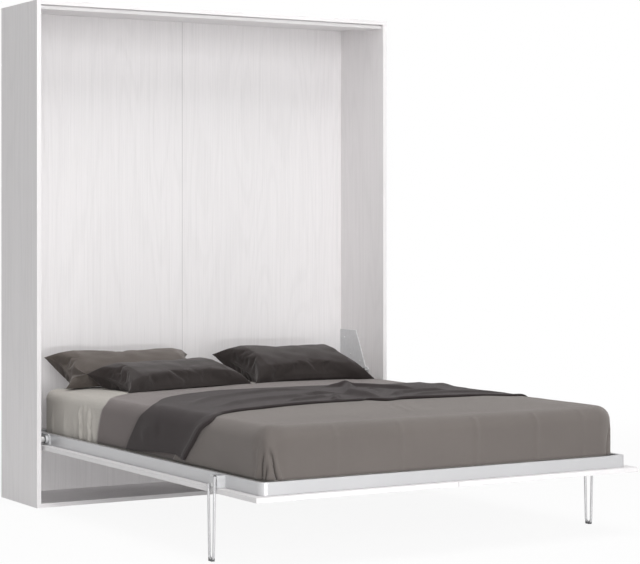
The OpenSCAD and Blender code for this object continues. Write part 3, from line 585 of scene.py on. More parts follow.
@dataclass
class BedShape:
    """The mattress as the bedding feels it: a soft slab with rounded edges and corners."""

    low: Vector
    high: Vector
    crown: float = 0.006
    crown_run: float = 0.19
    edge: float = 0.045
    corner: float = 0.085

    @property
    def half(self) -> float:
        """Half the mattress's width."""
        return self.high.x

    @property
    def top(self) -> float:
        """Height of the mattress's flat top, below its crown."""
        return self.high.z - self.crown

    @property
    def length(self) -> float:
        """The mattress's length."""
        return self.high.y - self.low.y

    @property
    def bend(self) -> float:
        """Length of cloth that lies round the rounded edge."""
        return self.edge * QUARTER_TURN

    def rise(self, across: float, along: float) -> float:
        """How far the crown lifts the top at a place on the flat cloth."""
        room = min(self.half - abs(across), along, self.length - along) - self.edge
        return self.crown * smooth(room / self.crown_run)

    def drape(self, across: float, along: float, lift: float) -> tuple[Vector, float, float]:
        """Lays a point of flat cloth over the mattress.

        Args:
            across: its place across the bed, from the middle line.
            along: its place from the head end towards the foot.
            lift: how far it stands off the mattress.

        Returns:
            The place in the row frame, how far it has gone past the flat top, and the way it faces
            in plan, from 0 at the flank to 1 at the foot.
        """
        inner = self.corner - self.edge
        base_x, base_y = self.half - self.corner, self.length - self.corner
        over_x, over_y = abs(across) - base_x, along - base_y
        in_corner = over_x > 0 and over_y > 0
        if in_corner:
            way = over_y / (2 * over_x) if over_y <= over_x else 1 - over_x / (2 * over_y)
        else:
            way = 0.0 if over_x > over_y else 1.0
            base_x, base_y = (base_x, along) if over_x > over_y else (abs(across), base_y)
        reach = max(over_x, over_y)
        out, height, past = reach, self.top + lift, max(0.0, reach - inner)
        if past:
            turn = min(1.0, past / self.bend) * QUARTER_TURN
            out = inner + (self.edge + lift) * math.sin(turn)
            height -= (self.edge + lift) * (1 - math.cos(turn)) + max(0.0, past - self.bend)
        x = base_x + math.cos(way * QUARTER_TURN) * out
        y = base_y + math.sin(way * QUARTER_TURN) * out
        if not past:
            x, y = (x, y) if in_corner else (abs(across), along)
            height += self.rise(x, y)
        return Vector((math.copysign(x, across), self.high.y - y, height)), past, way


@dataclass(frozen=True)
class Fold:
    """A ridge in the flat cloth along a line of (across, along) points."""

    line: tuple[FlatPoint, ...]
    height: float
    width: float
    fade: float = 5.0

    def at(self, across: float, along: float) -> float:
        """Height of the ridge at a place on the flat cloth.

        Args:
            across: the place across the bed.
            along: the place along the bed.

        Returns:
            The height, tapered to nothing at the line's ends.
        """
        best, share = 3 * self.width, 0.0
        for index, ((ax, ay), (bx, by)) in enumerate(zip(self.line, self.line[1:])):
            dx, dy = bx - ax, by - ay
            part = ((across - ax) * dx + (along - ay) * dy) / (dx * dx + dy * dy)
            part = min(1.0, max(0.0, part))
            gap = math.hypot(across - ax - dx * part, along - ay - dy * part)
            if gap < best:
                best, share = gap, (index + part) / (len(self.line) - 1)
        taper = smooth(share * self.fade) * smooth((1 - share) * self.fade)
        return self.height * bell(best, self.width) * taper


@dataclass(frozen=True)
class EdgeLine:
    """One edge of a sheet: how far along the bed it lies at each place across."""

    points: tuple[FlatPoint, ...]

    def shifted(self, step: float) -> "EdgeLine":
        """The edge moved along the bed."""
        return EdgeLine(tuple((across, along + step) for across, along in self.points))

    def at(self, across: float) -> float:
        """The edge's place along the bed, on a smooth curve through the points.

        Args:
            across: the place across the bed.

        Returns:
            The place along the bed, held beyond both ends.
        """
        points = self.points
        if across <= points[0][0]:
            return points[0][1]
        for index, ((x0, y0), (x1, y1)) in enumerate(zip(points, points[1:])):
            if across <= x1:
                before, after = points[max(0, index - 1)], points[min(len(points) - 1, index + 2)]
                step = x1 - x0
                rise0 = step * (y1 - before[1]) / (x1 - before[0])
                rise1 = step * (after[1] - y0) / (after[0] - x0)
                u = (across - x0) / step
                return ((2 * u**3 - 3 * u**2 + 1) * y0 + (u**3 - 2 * u**2 + u) * rise0
                        + (3 * u**2 - 2 * u**3) * y1 + (u**3 - u**2) * rise1)
        return points[-1][1]


class Pleat(NamedTuple):
    """A gathered pleat at a rounded foot corner.

    side is -1 for the left corner and 1 for the right. top and low are the way it faces, from 0 at
    the flank to 1 at the foot, at its upper and lower end, and width is in the same measure. start
    is how far past the flat top it begins.
    """

    side: float
    top: float
    low: float
    start: float
    size: float
    width: float

    def at(self, past: float, way: float) -> float:
        """Height of the pleat.

        Args:
            past: how far the cloth has gone past the flat top.
            way: the way it faces, from 0 at the flank to 1 at the foot.

        Returns:
            The height in metres.
        """
        full_depth, full_length = 0.06, 0.26
        sway, sway_rate, sway_phase = 0.010, 75, 30
        grown = between(past, self.start, self.start + full_depth)
        line = self.top + (self.low - self.top) * between(past, self.start, full_length)
        line += sway * math.sin(past * sway_rate + self.top * sway_phase)
        return self.size * grown * bell(way - line, self.width)


class Place(NamedTuple):
    """Where a point lies on the flat cloth, and how far it is from an end and from a side."""

    across: float
    along: float
    to_end: float
    to_side: float


@dataclass
class Sheet(SoftPiece):
    """A length of cloth laid over the mattress and hanging down its sides.

    half_width gives half its width at a share of the way from head to foot. lift and least are how
    far it stands off the mattress in general and at least, ruffle is the height of its ripples,
    lip how far its foot edge stands up, and roll the radius that its edges are rolled under by.
    """

    head: EdgeLine
    foot: EdgeLine
    half_width: Callable[[float], float]
    cells: tuple[int, int]
    lift: float
    thick: float
    ruffle: float
    seed: float
    folds: tuple[Fold, ...] = ()
    pleats: tuple[Pleat, ...] = ()
    lip: float = 0.0
    roll: float = 0.0
    least: float = 0.0025

    def stand_off(self, across: float, along: float) -> float:
        """How far a point of the cloth stands off the mattress.

        Args:
            across: its place across the bed.
            along: its place along the bed.

        Returns:
            The distance in metres.
        """
        waves_across, waves_along, deepest, lip_run = 2.1, 2.6, -0.6, 0.05
        spot = Vector((across * waves_across, along * waves_along, self.seed))
        ripples = ((1.0, 1.0), (0.5, 2.7), (0.25, 6.1))
        swell = sum(share * noise.noise(spot * finer) for share, finer in ripples)
        lift = self.lift + self.ruffle * max(deepest, swell)
        lift += sum(fold.at(across, along) for fold in self.folds)
        return lift + self.lip * (1 - between(self.foot.at(across) - along, 0.0, lip_run))

    def rolled(self, across: float, along: float) -> tuple[float, float]:
        """Rolls the cloth's foot edge under itself, and its head edge a little.

        Args:
            across: place across the bed on the flat cloth.
            along: place along the bed on the flat cloth.

        Returns:
            The place along the bed and how far the roll takes it down.
        """
        flat_radii, inner_radii, last_turn, head_share = 2.6, 1.2, 2.2, 0.4
        ends = ((self.head, 1.0, head_share * self.roll), (self.foot, -1.0, self.roll))
        for line, sign, radius in ends:
            edge = line.at(across)
            gap, length = (along - edge) * sign, flat_radii * radius
            if radius and gap < length:
                turn = (1 - gap / length) * last_turn
                along = edge + sign * (length - radius * (math.sin(turn) + inner_radii))
                return along, radius * (1 - math.cos(turn))
        return along, 0.0

    def cut(self, u: float, v: float) -> Place:
        """Finds where a point of the grid lies on the flat cloth.

        Args:
            u: share of the way from the left edge to the right.
            v: share of the way from the head edge to the foot edge.

        Returns:
            The place on the flat cloth.
        """
        crowding = 0.6
        if self.roll:
            v -= crowding * math.sin(FULL_TURN * v) / FULL_TURN
        half = self.half_width(v)
        across = (2 * u - 1) * half
        head, foot = self.head.at(across), self.foot.at(across)
        along = head + (foot - head) * v
        return Place(across, along, min(along - head, foot - along), min(u, 1 - u) * 2 * half)

    def laid(self, place: Place, shape: BedShape) -> Vector:
        """Lays a point of the flat cloth over the mattress.

        Args:
            place: where it lies on the flat cloth.
            shape: the mattress under it.

        Returns:
            The place in the row frame.
        """
        across = place.across
        lift = self.stand_off(across, place.along)
        along, drop = self.rolled(across, place.along)
        _, past, way = shape.drape(across, along, lift)
        gathers = sum(pleat.at(past, way) for pleat in self.pleats if pleat.side * across > 0)
        spot = shape.drape(across, along, max(self.least, lift - drop) + gathers)[0]
        spot.z = max(spot.z, HEM_HEIGHT)
        return spot

    def build(self, shape: BedShape) -> None:
        """Makes the sheet.

        Args:
            shape: the mattress under it.
        """
        mesh = bmesh.new()
        bmesh.ops.create_grid(mesh, x_segments=self.cells[0], y_segments=self.cells[1], size=0.5)
        flat = mesh.loops.layers.uv.new("Flat")
        rim = mesh.loops.layers.uv.new("Edge")
        places = {vert: self.cut(vert.co.x + 0.5, vert.co.y + 0.5) for vert in mesh.verts}
        area = sum(self.flat_area([places[vert] for vert in face.verts]) for face in mesh.faces)
        for vert, place in places.items():
            vert.co = self.laid(place, shape)
        for loop in (loop for face in mesh.faces for loop in face.loops):
            across, along, to_end, to_side = places[loop.vert]
            loop[flat].uv = (across, along)
            loop[rim].uv = (min(to_end, to_side), across if to_end < to_side else along)
        bmesh.ops.recalc_face_normals(mesh, faces=mesh.faces)
        if sum(face.normal.z for face in mesh.faces) < 0:
            bmesh.ops.reverse_faces(mesh, faces=mesh.faces)
        piece = self.finished(mesh)
        shell = piece.modifiers.new("thickness", "SOLIDIFY")
        shell.thickness, shell.offset, shell.use_even_offset = self.thick, 1.0, False
        size = tuple(span(place[axis] for place in places.values()) for axis in range(2))
        min(area, size[0] * size[1])
        LOG.info("%s: cut %.2f x %.2f m, %.2f square metres", self.name, *size, area)

    @staticmethod
    def flat_area(spots: list[Place]) -> float:
        """Area of a face on the flat cloth, from the places of its corners."""
        pairs = zip(spots, spots[1:] + spots[:1])
        return abs(sum(a[0] * b[1] - b[0] * a[1] for a, b in pairs)) / 2


class Tuck(NamedTuple):
    """A pulled fold on the flank: its place along the bed, upper end, height and width."""

    place: float
    upper: float
    size: float
    width: float

    def at(self, along: float, height: float, top: float) -> float:
        """Height of the fold.

        Args:
            along: the place from the head end.
            height: the height in the row frame.
            top: the height of the mattress's top.

        Returns:
            The height in metres.
        """
        lean, sway, sway_rate, sway_phase, run_in = 0.10, 0.004, 90, 40, 0.07
        line = self.place + lean * (top - height)
        line += sway * math.sin(height * sway_rate + self.place * sway_phase)
        grown = between(self.upper - height, 0.0, run_in)
        return self.size * grown * bell(along - line, self.width)


@dataclass
class Mattress(SoftPiece):
    """The mattress in its fitted sheet.

    low_edge is the radius of its lower edge, cells how many cells its block is cut into across,
    along and upright, and covered_left and covered_right where the upper sheets begin to cover its
    flanks, from the head end.
    """

    shape: BedShape
    low_edge: float = 0.020
    covered_left: FlatPoint = (0.56, 0.60)
    covered_right: FlatPoint = (0.26, 0.30)
    cells: tuple[int, int, int] = (96, 230, 22)
    tucks: tuple[Tuck, ...] = (
        Tuck(0.425, 0.480, 0.016, 0.012), Tuck(0.468, 0.500, 0.010, 0.009),
        Tuck(0.510, 0.475, 0.017, 0.011), Tuck(0.548, 0.450, 0.011, 0.008),
        Tuck(0.350, 0.420, 0.005, 0.016), Tuck(0.250, 0.450, 0.004, 0.020),
        Tuck(0.120, 0.430, 0.005, 0.016))

    def build(self) -> None:
        """Makes the fitted sheet as the mattress's skin."""
        shape = self.shape
        mesh = bmesh.new()
        bmesh.ops.create_cube(mesh, size=1.0)
        for axis in (1, 0, 2):
            lines = [edge for edge in mesh.edges
                     if abs(edge.verts[0].co[axis] - edge.verts[1].co[axis]) > 1e-6]
            cuts = self.cells[axis] - 1
            bmesh.ops.subdivide_edges(mesh, edges=lines, cuts=cuts, use_grid_fill=True)
        for vert in mesh.verts:
            u, v, w = vert.co
            vert.co = self.skin(u * 2 * shape.half, (0.5 - v) * shape.length, w)
        flat = mesh.loops.layers.uv.new("Flat")
        for face in mesh.faces:
            face.normal_update()
            lead = max(range(3), key=lambda axis: abs(face.normal[axis]))
            first, second = ((2, 1), (0, 2), (0, 1))[lead]
            for loop in face.loops:
                loop[flat].uv = (loop.vert.co[first], loop.vert.co[second])
        bmesh.ops.recalc_face_normals(mesh, faces=mesh.faces)
        self.finished(mesh)

    def way_out(self, plan: Vector) -> tuple[Vector, Vector, float]:
        """The way from a place in plan to the nearest side.

        Args:
            plan: the place from the mattress's middle, without signs.

        Returns:
            The way, the point that the side's rounding is measured from, and the distance left.
        """
        corner = self.shape.corner
        half = Vector((self.shape.half, self.shape.length / 2))
        base = half - Vector((corner, corner))
        over = plan - base
        if over.x > 0 and over.y > 0:
            return over.normalized(), base, corner - max(over)
        if over.x > over.y:
            return Vector((1, 0)), Vector((base.x, plan.y)), half.x - plan.x
        return Vector((0, 1)), Vector((plan.x, base.y)), half.y - plan.y

    def skin(self, across: float, along: float, level: float) -> Vector:
        """Moves a point of the plain block onto the soft, rounded mattress.

        Args:
            across: its place across the block.
            along: its place from the head end.
            level: its level from -0.5 at the bottom to 0.5 at the top.

        Returns:
            The place in the row frame.
        """
        shape, capped = self.shape, abs(level) > 0.4999
        centre = Vector((0.0, shape.length / 2))
        plan = Vector((across, along)) - centre
        sides = Vector((math.copysign(1.0, plan.x), math.copysign(1.0, plan.y)))
        spot = Vector((abs(plan.x), abs(plan.y)))
        facing, base, inset = self.way_out(spot)
        depth = (0.5 - abs(level)) * (shape.top - shape.low.z)
        radius = shape.edge if level > 0 else self.low_edge
        path = radius - inset if capped else radius + depth
        if inset < radius and path < 2 * radius:
            turn = path / (2 * radius) * QUARTER_TURN
            inset, depth = radius * (1 - math.sin(turn)), radius * (1 - math.cos(turn))
        height = shape.top - depth if level > 0 else shape.low.z + depth
        if inset < shape.corner:
            spot = base + facing * (shape.corner - inset)
        spot = spot * sides + centre
        if capped and level > 0:
            uneven, rate, layer = 0.0015, 3, 4.0
            height += shape.rise(spot.x, spot.y)
            height += uneven * noise.noise(Vector((spot.x * rate, spot.y * rate, layer)))
        out = facing * sides * self.pull(spot, height, abs(facing.x), sides.x)
        return Vector((spot.x + out.x, shape.high.y - spot.y - out.y, height))

    def pull(self, spot: Vector, height: float, to_flank: float, side: float) -> float:
        """How far the tucked sheet stands out from the block's side.

        Args:
            spot: the place across the bed and from the head end.
            height: the height in the row frame.
            to_flank: how far the place faces the flank, from 0 to 1.
            side: -1 on the left and 1 on the right.

        Returns:
            The distance in metres, past the upper sheets only a small step back.
        """
        top, low = self.shape.top, self.shape.low.z
        waviness, step_back = 0.003, 0.0015
        covered = between(spot.y, *(self.covered_left if side < 0 else self.covered_right))
        wave = noise.noise(Vector(((spot.x + spot.y * 2.0) * 9, height * 2.7, 1.0)))
        folds = sum(tuck.at(spot.y, height, top) for tuck in self.tucks) * to_flank
        pull = (waviness * wave + folds) * (1 - covered) - step_back
        return pull * between(top - height, 0.01, 0.07) * between(height, low, low + 0.03)


@dataclass
class Pillow(SoftPiece):
    """A soft pillow in its case, blown up as cloth and laid between its four corners.

    corners are the front left, front right, rear right and rear left corner in the row frame.
    floor is the height that it rests on, waist how far the rim's short sides are drawn in,
    long_share how much of that its long ones are, and clear its room to another pillow. Before it
    is blown up, ends is the share of the half width that its ends swell over, fullness how far
    each of its two sheets rises as a share of the thickness, seam half the gap at its rim, and
    dents their depth and how many there are to the metre.
    """

    size: Point
    corners: tuple[Point, Point, Point, Point]
    floor: float
    seed: float
    waist: float = 0.022
    long_share: float = 0.8
    ends: float = 0.30
    fullness: float = 0.36
    seam: float = 0.0006
    dents: tuple[float, float] = (0.004, 14)
    cell: float = 0.0085
    clear: float = 0.0015
    frames: int = 20
    most_move: float = 0.03

    def blank(self) -> BMesh:
        """Sews the case before it is blown up: two sheets joined round their rim, thinly swelled.

        Returns:
            The blank, with its middle at the origin.
        """
        width, depth, thick = self.size
        dent, rate = self.dents
        mesh = bmesh.new()
        cells = (round(width / self.cell), round(depth / self.cell))
        bmesh.ops.create_grid(mesh, x_segments=cells[0], y_segments=cells[1], size=0.5)
        flat = mesh.loops.layers.uv.new("Flat")
        rim = mesh.loops.layers.uv.new("Edge")
        for loop in (loop for face in mesh.faces for loop in face.loops):
            u, v = loop.vert.co.x, loop.vert.co.y
            loop[flat].uv = (u * width, v * depth)
            gaps = ((0.5 - abs(u)) * width, (0.5 - abs(v)) * depth)
            loop[rim].uv = (min(gaps), v * depth if gaps[0] < gaps[1] else u * width)
        upper = list(mesh.faces)
        made = bmesh.ops.duplicate(mesh, geom=mesh.verts[:] + mesh.edges[:] + mesh.faces[:])
        lower = [item for item in made["geom"] if isinstance(item, BMFace)]
        bmesh.ops.reverse_faces(mesh, faces=lower)
        for faces, side in ((upper, 1.0), (lower, -1.0)):
            for vert in {vert for face in faces for vert in face.verts}:
                u, v = vert.co.x * 2, vert.co.y * 2
                swell = min(1.0, (1 - abs(u)) / self.ends) ** 0.75 * (max(0.0, 1 - v * v) ** 0.5)
                x = (width / 2 - self.waist * (1 - v * v) * abs(u)) * u
                y = (depth / 2 - self.waist * self.long_share * (1 - u * u) * abs(v)) * v
                crumple = noise.noise(Vector((x * rate, y * rate, self.seed + side)))
                z = side * (thick * self.fullness * swell + self.seam)
                vert.co = Vector((x, y, z + dent * crumple * min(1.0, swell * 3)))
        rims = [edge for edge in mesh.edges if edge.is_boundary]
        bmesh.ops.bridge_loops(mesh, edges=rims)
        bmesh.ops.recalc_face_normals(mesh, faces=mesh.faces)
        return mesh

    def blown(self, mesh: BMesh) -> BMesh:
        """Blows the case up with air pressure and gives the settled mesh.

        Args:
            mesh: the blank; it is freed.

        Returns:
            The simulated mesh, each point held within a few centimetres of its start.
        """
        start = [vert.co.copy() for vert in mesh.verts]
        name = f"{self.name}_blank"
        dummy = linked(name, as_mesh(name, mesh))
        cloth = dummy.modifiers.new("cloth", "CLOTH")
        rules = cloth.settings
        rules.quality, rules.mass, rules.air_damping = 6, 0.25, 1.5
        rules.tension_stiffness = rules.compression_stiffness = 12
        rules.shear_stiffness, rules.bending_stiffness = 6, 0.35
        rules.shrink_min = -0.055
        rules.use_pressure, rules.uniform_pressure_force = True, 3.6
        rules.effector_weights.gravity = 0
        cloth.collision_settings.use_collision = False
        cloth.point_cache.frame_start, cloth.point_cache.frame_end = 1, self.frames
        for step in range(1, self.frames + 1):
            bpy.context.scene.frame_set(step)
        result = applied(dummy)
        bpy.context.scene.frame_set(1)
        bpy.data.objects.remove(dummy)
        for vert, was in zip(result.verts, start):
            move = vert.co - was
            if move.length > self.most_move:
                vert.co = was + move * (self.most_move / move.length)
        return result

    def build(self, neighbour: BMesh | None = None, away: Vector = Vector((0, 1, 0))) -> BMesh:
        """Makes the pillow.

        Args:
            neighbour: a pillow already in place that this one rests against.
            away: the way that this pillow gives where the two press on each other.

        Returns:
            A copy of the placed mesh, for the next pillow to rest against.
        """
        mesh = self.blank()
        mesh = self.blown(mesh)
        spans = [span(vert.co[axis] for vert in mesh.verts) for axis in range(3)]
        for vert in mesh.verts:
            u, v, level = (vert.co[axis] / spans[axis] for axis in range(3))
            vert.co = self.rested(u + 0.5, v + 0.5, level)
        bmesh.ops.subdivide_edges(mesh, edges=mesh.edges, cuts=1, use_grid_fill=True, smooth=0.8)
        self.flatten(mesh)
        if neighbour:
            self.push_clear(mesh, neighbour, away)
        for _ in range(2):
            bmesh.ops.smooth_vert(mesh, verts=mesh.verts, factor=0.25, use_axis_x=True,
                                  use_axis_y=True, use_axis_z=True)
        bmesh.ops.recalc_face_normals(mesh, faces=mesh.faces)
        copy = mesh.copy()
        piece = self.finished(mesh)
        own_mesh(piece)
        return copy

    def rested(self, u: float, v: float, level: float) -> Vector:
        """Takes a point of the pillow to where the pillow rests between its four corners.

        Args:
            u: share of the way from the left end to the right.
            v: share of the way from the front to the rear.
            level: height over the seam, from -0.5 to 0.5.

        Returns:
            The place in the row frame.
        """
        front_left, front_right, rear_right, rear_left = (Vector(spot) for spot in self.corners)
        front, rear = front_left.lerp(front_right, u), rear_left.lerp(rear_right, u)
        across = (front_right - front_left).lerp(rear_right - rear_left, v)
        upward = across.cross(rear - front).normalized()
        return front.lerp(rear, v) + upward * (level * self.size[2])

    def flatten(self, mesh: BMesh) -> None:
        """Lifts every point under the floor or just over it, so that the case rests on it.

        Args:
            mesh: the pillow's placed mesh.
        """
        skin, give = 0.004, 0.02
        for vert in mesh.verts:
            under = self.floor + 2 * skin - vert.co.z
            if under > 0:
                vert.co.z = self.floor + skin * math.exp(-under / give)

    def push_clear(self, mesh: BMesh, other: BMesh, away: Vector) -> None:
        """Moves every point inside another pillow out through its skin, with a little room.

        Args:
            mesh: this pillow's placed mesh.
            other: the other pillow's.
            away: the way out.
        """
        tree, reach = BVHTree.FromBMesh(other), 0.15
        for vert in mesh.verts:
            spot, normal, _, _ = tree.find_nearest(vert.co, reach)
            if spot is None or (vert.co - spot).dot(normal) >= self.clear:
                continue
            exit_spot = tree.ray_cast(vert.co, away)[0]
            vert.co = (exit_spot or spot) + away * self.clear


class Bedding:
    """The made-up bed: mattress, sheets, blanket and pillows."""

    def __init__(self, finishes: Finishes) -> None:
        """Reads the mattress's place from the frame.

        Args:
            finishes: where the materials come from.
        """
        self.shape = BedShape(*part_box("mattress"))
        self.finishes = finishes
        drop = self.shape.top - self.shape.edge - HEM_HEIGHT
        self.edge_in = self.shape.half - self.shape.edge + self.shape.bend
        self.side = self.edge_in + drop
        self.foot = self.shape.length - self.shape.edge + self.shape.bend + drop

    def edges(self) -> tuple[EdgeLine, EdgeLine, EdgeLine]:
        """Draws the edges that show, by (across, along) points from the bed's head end.

        Returns:
            The head edges of the turned sheet and the blanket, and the blanket's foot edge.
        """
        out, inn = self.side, self.edge_in
        sheet = (
            (-out, 0.600), (-0.890, 0.618), (-inn, 0.645), (-0.790, 0.665), (-0.745, 0.620),
            (-0.690, 0.560), (-0.600, 0.515), (-0.450, 0.480), (-0.156, 0.410), (0.100, 0.335),
            (0.300, 0.315), (0.600, 0.330), (out, 0.330))
        blanket = (
            (-out, 0.890), (-0.915, 0.922), (-0.870, 0.962), (-inn, 1.005), (-0.785, 1.055),
            (-0.740, 1.010), (-0.640, 0.880), (-0.514, 0.793), (-0.361, 0.718), (-0.200, 0.686),
            (-0.038, 0.676), (0.180, 0.692), (0.322, 0.715), (0.401, 0.752), (0.488, 0.778),
            (0.612, 0.760), (0.700, 0.700), (out, 0.665))
        cover = (
            (-out, 1.395), (-0.915, 1.440), (-0.870, 1.490), (-inn, 1.535), (-0.790, 1.590),
            (-0.755, 1.560), (-0.700, 1.512), (-0.518, 1.460), (-0.345, 1.400), (-0.211, 1.372),
            (-0.066, 1.365), (0.020, 1.360), (0.056, 1.345), (0.082, 1.395), (0.114, 1.415),
            (0.197, 1.385), (0.290, 1.392), (0.386, 1.400), (0.480, 1.408), (0.572, 1.418),
            (0.711, 1.448), (inn, 1.445), (out, 1.400))
        return EdgeLine(sheet), EdgeLine(blanket), EdgeLine(cover)

    @staticmethod
    def folds(rows: tuple) -> tuple[Fold, ...]:
        """Folds from rows of a height, a width and the line's points."""
        return tuple(Fold(tuple(line), height, width) for height, width, *line in rows)

    def blanket_folds(self) -> tuple[Fold, ...]:
        """Draws the long folds and puffs of the blanket.

        Returns:
            The folds, the hollows between them with a negative height.
        """
        rows = (
            (0.0100, 0.026, (-0.70, 1.22), (-0.50, 1.02), (-0.30, 0.90), (-0.10, 0.84),
             (0.14, 0.84)),
            (0.0135, 0.028, (-0.66, 1.36), (-0.40, 1.20), (-0.10, 1.10), (0.12, 0.98)),
            (0.0120, 0.014, (-0.30, 1.30), (-0.14, 1.22), (-0.02, 1.16)),
            (0.0170, 0.016, (-0.12, 1.35), (-0.04, 1.27), (0.01, 1.16)),
            (-0.022, 0.014, (-0.16, 1.14), (-0.02, 1.07), (0.06, 1.05), (0.075, 1.15), (0.05, 1.25),
             (0.045, 1.35)),
            (0.0210, 0.019, (0.10, 1.42), (0.12, 1.22), (0.13, 1.10), (0.20, 0.98), (0.28, 0.85),
             (0.30, 0.75)),
            (0.0160, 0.018, (0.165, 0.79), (0.285, 0.79), (0.36, 0.87), (0.40, 0.99), (0.50, 1.10)),
            (-0.017, 0.012, (0.22, 1.16), (0.30, 1.04), (0.34, 0.92)),
            (0.0130, 0.014, (0.20, 1.30), (0.30, 1.22), (0.44, 1.17), (0.60, 1.16)),
            (0.0080, 0.055, (0.42, 1.06), (0.56, 0.95), (0.70, 0.88), (0.88, 0.86)),
            (0.0100, 0.022, (0.28, 1.32), (0.50, 1.27), (0.78, 1.32)),
            (0.0050, 0.026, (-0.97, 1.372), (-0.91, 1.424), (-0.86, 1.478), (-0.80, 1.545),
             (-0.76, 1.53)),
            (0.0040, 0.030, (-0.90, 1.03), (-0.86, 1.10), (-0.84, 1.20)))
        return self.folds(rows)

    def cover_folds(self) -> tuple[Fold, ...]:
        """Draws the cover's faint creases: upright ones on its foot end, and others.

        Returns:
            The creases.
        """
        creases = ((-0.234, 0.0022), (0.108, 0.0025), (0.393, 0.0025), (-0.52, 0.0015),
                   (0.62, 0.0018))
        reach = ((0.0, -0.20), (0.006, -0.12), (0.0, 0.05))
        upright = tuple(Fold(tuple((x + dx, self.foot + dy) for dx, dy in reach), height, 0.010)
                        for x, height in creases)
        rows = (
            (0.004, 0.013, (0.08, 1.47), (0.00, 1.66), (-0.075, 1.86)),
            (0.003, 0.012, (0.15, 1.46), (0.07, 1.62), (0.00, 1.78)),
            (0.003, 0.011, (0.03, 1.50), (-0.03, 1.62), (-0.09, 1.74)),
            (0.002, 0.013, (0.24, 1.50), (0.17, 1.62), (0.13, 1.72)),
            (0.003, 0.016, (-0.66, 1.88), (-0.76, 1.95), (-0.83, 2.02)),
            (0.002, 0.025, (-0.86, 1.62), (-0.85, 1.85), (-0.88, 2.05)))
        return upright + self.folds(rows)

    def blanket_half(self, share: float) -> float:
        """Half the blanket's width at a share of the way from its head edge to its foot edge."""
        short = 0.004 + 0.022 * smooth(share / 0.8) - 0.014 * smooth((share - 0.8) / 0.2)
        return self.side - short

    def sheets(self) -> tuple[Sheet, Sheet, Sheet]:
        """Cuts the sheets, with their folds and pleats.

        Returns:
            The turned sheet, the cover and the blanket, in the order that they are laid.
        """
        sheet, blanket, cover = self.edges()
        foot = EdgeLine(((-self.side, self.foot), (self.side, self.foot)))
        pleats = tuple(Pleat(*row) for row in (
            (-1.0, 0.47, 0.50, 0.03, 0.017, 0.150), (-1.0, 0.40, 0.33, 0.09, -0.016, 0.022),
            (-1.0, 0.48, 0.45, 0.12, -0.014, 0.018), (-1.0, 0.55, 0.72, 0.07, -0.016, 0.028),
            (-1.0, 0.62, 0.84, 0.09, 0.007, 0.060), (-1.0, 0.30, 0.16, 0.06, 0.005, 0.060),
            (1.0, 0.62, 0.60, 0.05, 0.006, 0.110), (1.0, 0.50, 0.42, 0.08, -0.006, 0.024),
            (1.0, 0.60, 0.60, 0.10, -0.007, 0.022), (1.0, 0.70, 0.80, 0.08, -0.006, 0.030)))
        return (
            Sheet(self.finishes, "turned_sheet", "mid_grey_sheet", "top_sheet",
                  sheet, blanket.shifted(0.42), lambda _: self.side, (200, 66),
                  lift=0.0035, thick=0.0015, ruffle=0.0010, seed=3.0, lip=0.002),
            Sheet(self.finishes, "bed_cover_cloth", "warm_grey_cover", "bed_cover",
                  cover.shifted(-0.10), foot, lambda _: self.side, (240, 84),
                  lift=0.0078, thick=0.0020, ruffle=0.0013, seed=11.0,
                  folds=self.cover_folds(), pleats=pleats),
            Sheet(self.finishes, "folded_blanket", "charcoal_blanket", "blanket",
                  blanket, cover, self.blanket_half, (230, 96),
                  lift=0.0140, thick=0.0020, ruffle=0.0030, seed=5.0,
                  folds=self.blanket_folds(), lip=0.007, roll=0.0085, least=0.0118))

    def pillows(self) -> tuple[Pillow, ...]:
        """Sizes the pillows and places their corners.

        Returns:
            The left front, left back and right pillow, in the order that they are laid.
        """
        floor = self.shape.top + self.shape.crown + 0.0025
        rows = (
            ("pillow_left_front", "charcoal_pillow", (0.69, 0.40, 0.15), (
                (-0.622, -0.706, 0.502), (0.086, -0.545, 0.506), (0.040, -0.230, 0.570),
                (-0.668, -0.395, 0.568))),
            ("pillow_left_back", "taupe_pillow", (0.70, 0.38, 0.15), (
                (-0.764, -0.372, 0.502), (-0.040, -0.400, 0.505), (-0.025, -0.120, 0.618),
                (-0.752, -0.125, 0.630))),
            ("pillow_right", "charcoal_pillow", (0.64, 0.40, 0.165), (
                (0.098, -0.545, 0.502), (0.704, -0.606, 0.508), (0.692, -0.245, 0.610),
                (0.075, -0.175, 0.618))))
        return tuple(
            Pillow(self.finishes, f"{node}_case", slot, node, size, corners, floor, seed)
            for seed, (node, slot, size, corners) in enumerate(rows, 1))

    def build(self) -> None:
        """Makes every piece of bedding."""
        Mattress(
            self.finishes, "fitted_mattress", "taupe_sheet", "mattress", self.shape).build()
        for cloth in self.sheets():
            cloth.build(self.shape)
        front, back, right = self.pillows()
        placed = front.build()
        back.build(placed).free()
        right.build(placed, Vector((1, 0, 0))).free()
        placed.free()


# Rigid parts


@dataclass
class HardParts:
    """The rigid sub-assemblies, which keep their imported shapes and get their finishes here."""

    finishes: Finishes
    grains: dict[str, Grain] = field(default_factory=lambda: {
        "top_panel": Grain.ACROSS,
        "bottom_panel": Grain.ACROSS,
        "top_stop_rail": Grain.ACROSS,
        "front_panel_left": Grain.DEEP,
        "front_panel_right": Grain.DEEP,
    })

    def dress(self) -> None:
        """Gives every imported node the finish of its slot."""
        for part in frame["record"]["subparts"]:
            node = frame["nodes"][part["node"]]
            if node.hide_render:
                continue
            material = self.finishes.get(part["material_slot"], self.grains.get(part["node"]))
            if not node.material_slots:
                node.data.materials.append(material)
            for slot in node.material_slots:
                slot.material = material
            LOG.info("%s: %s", part["node"], material.name)


# Studio


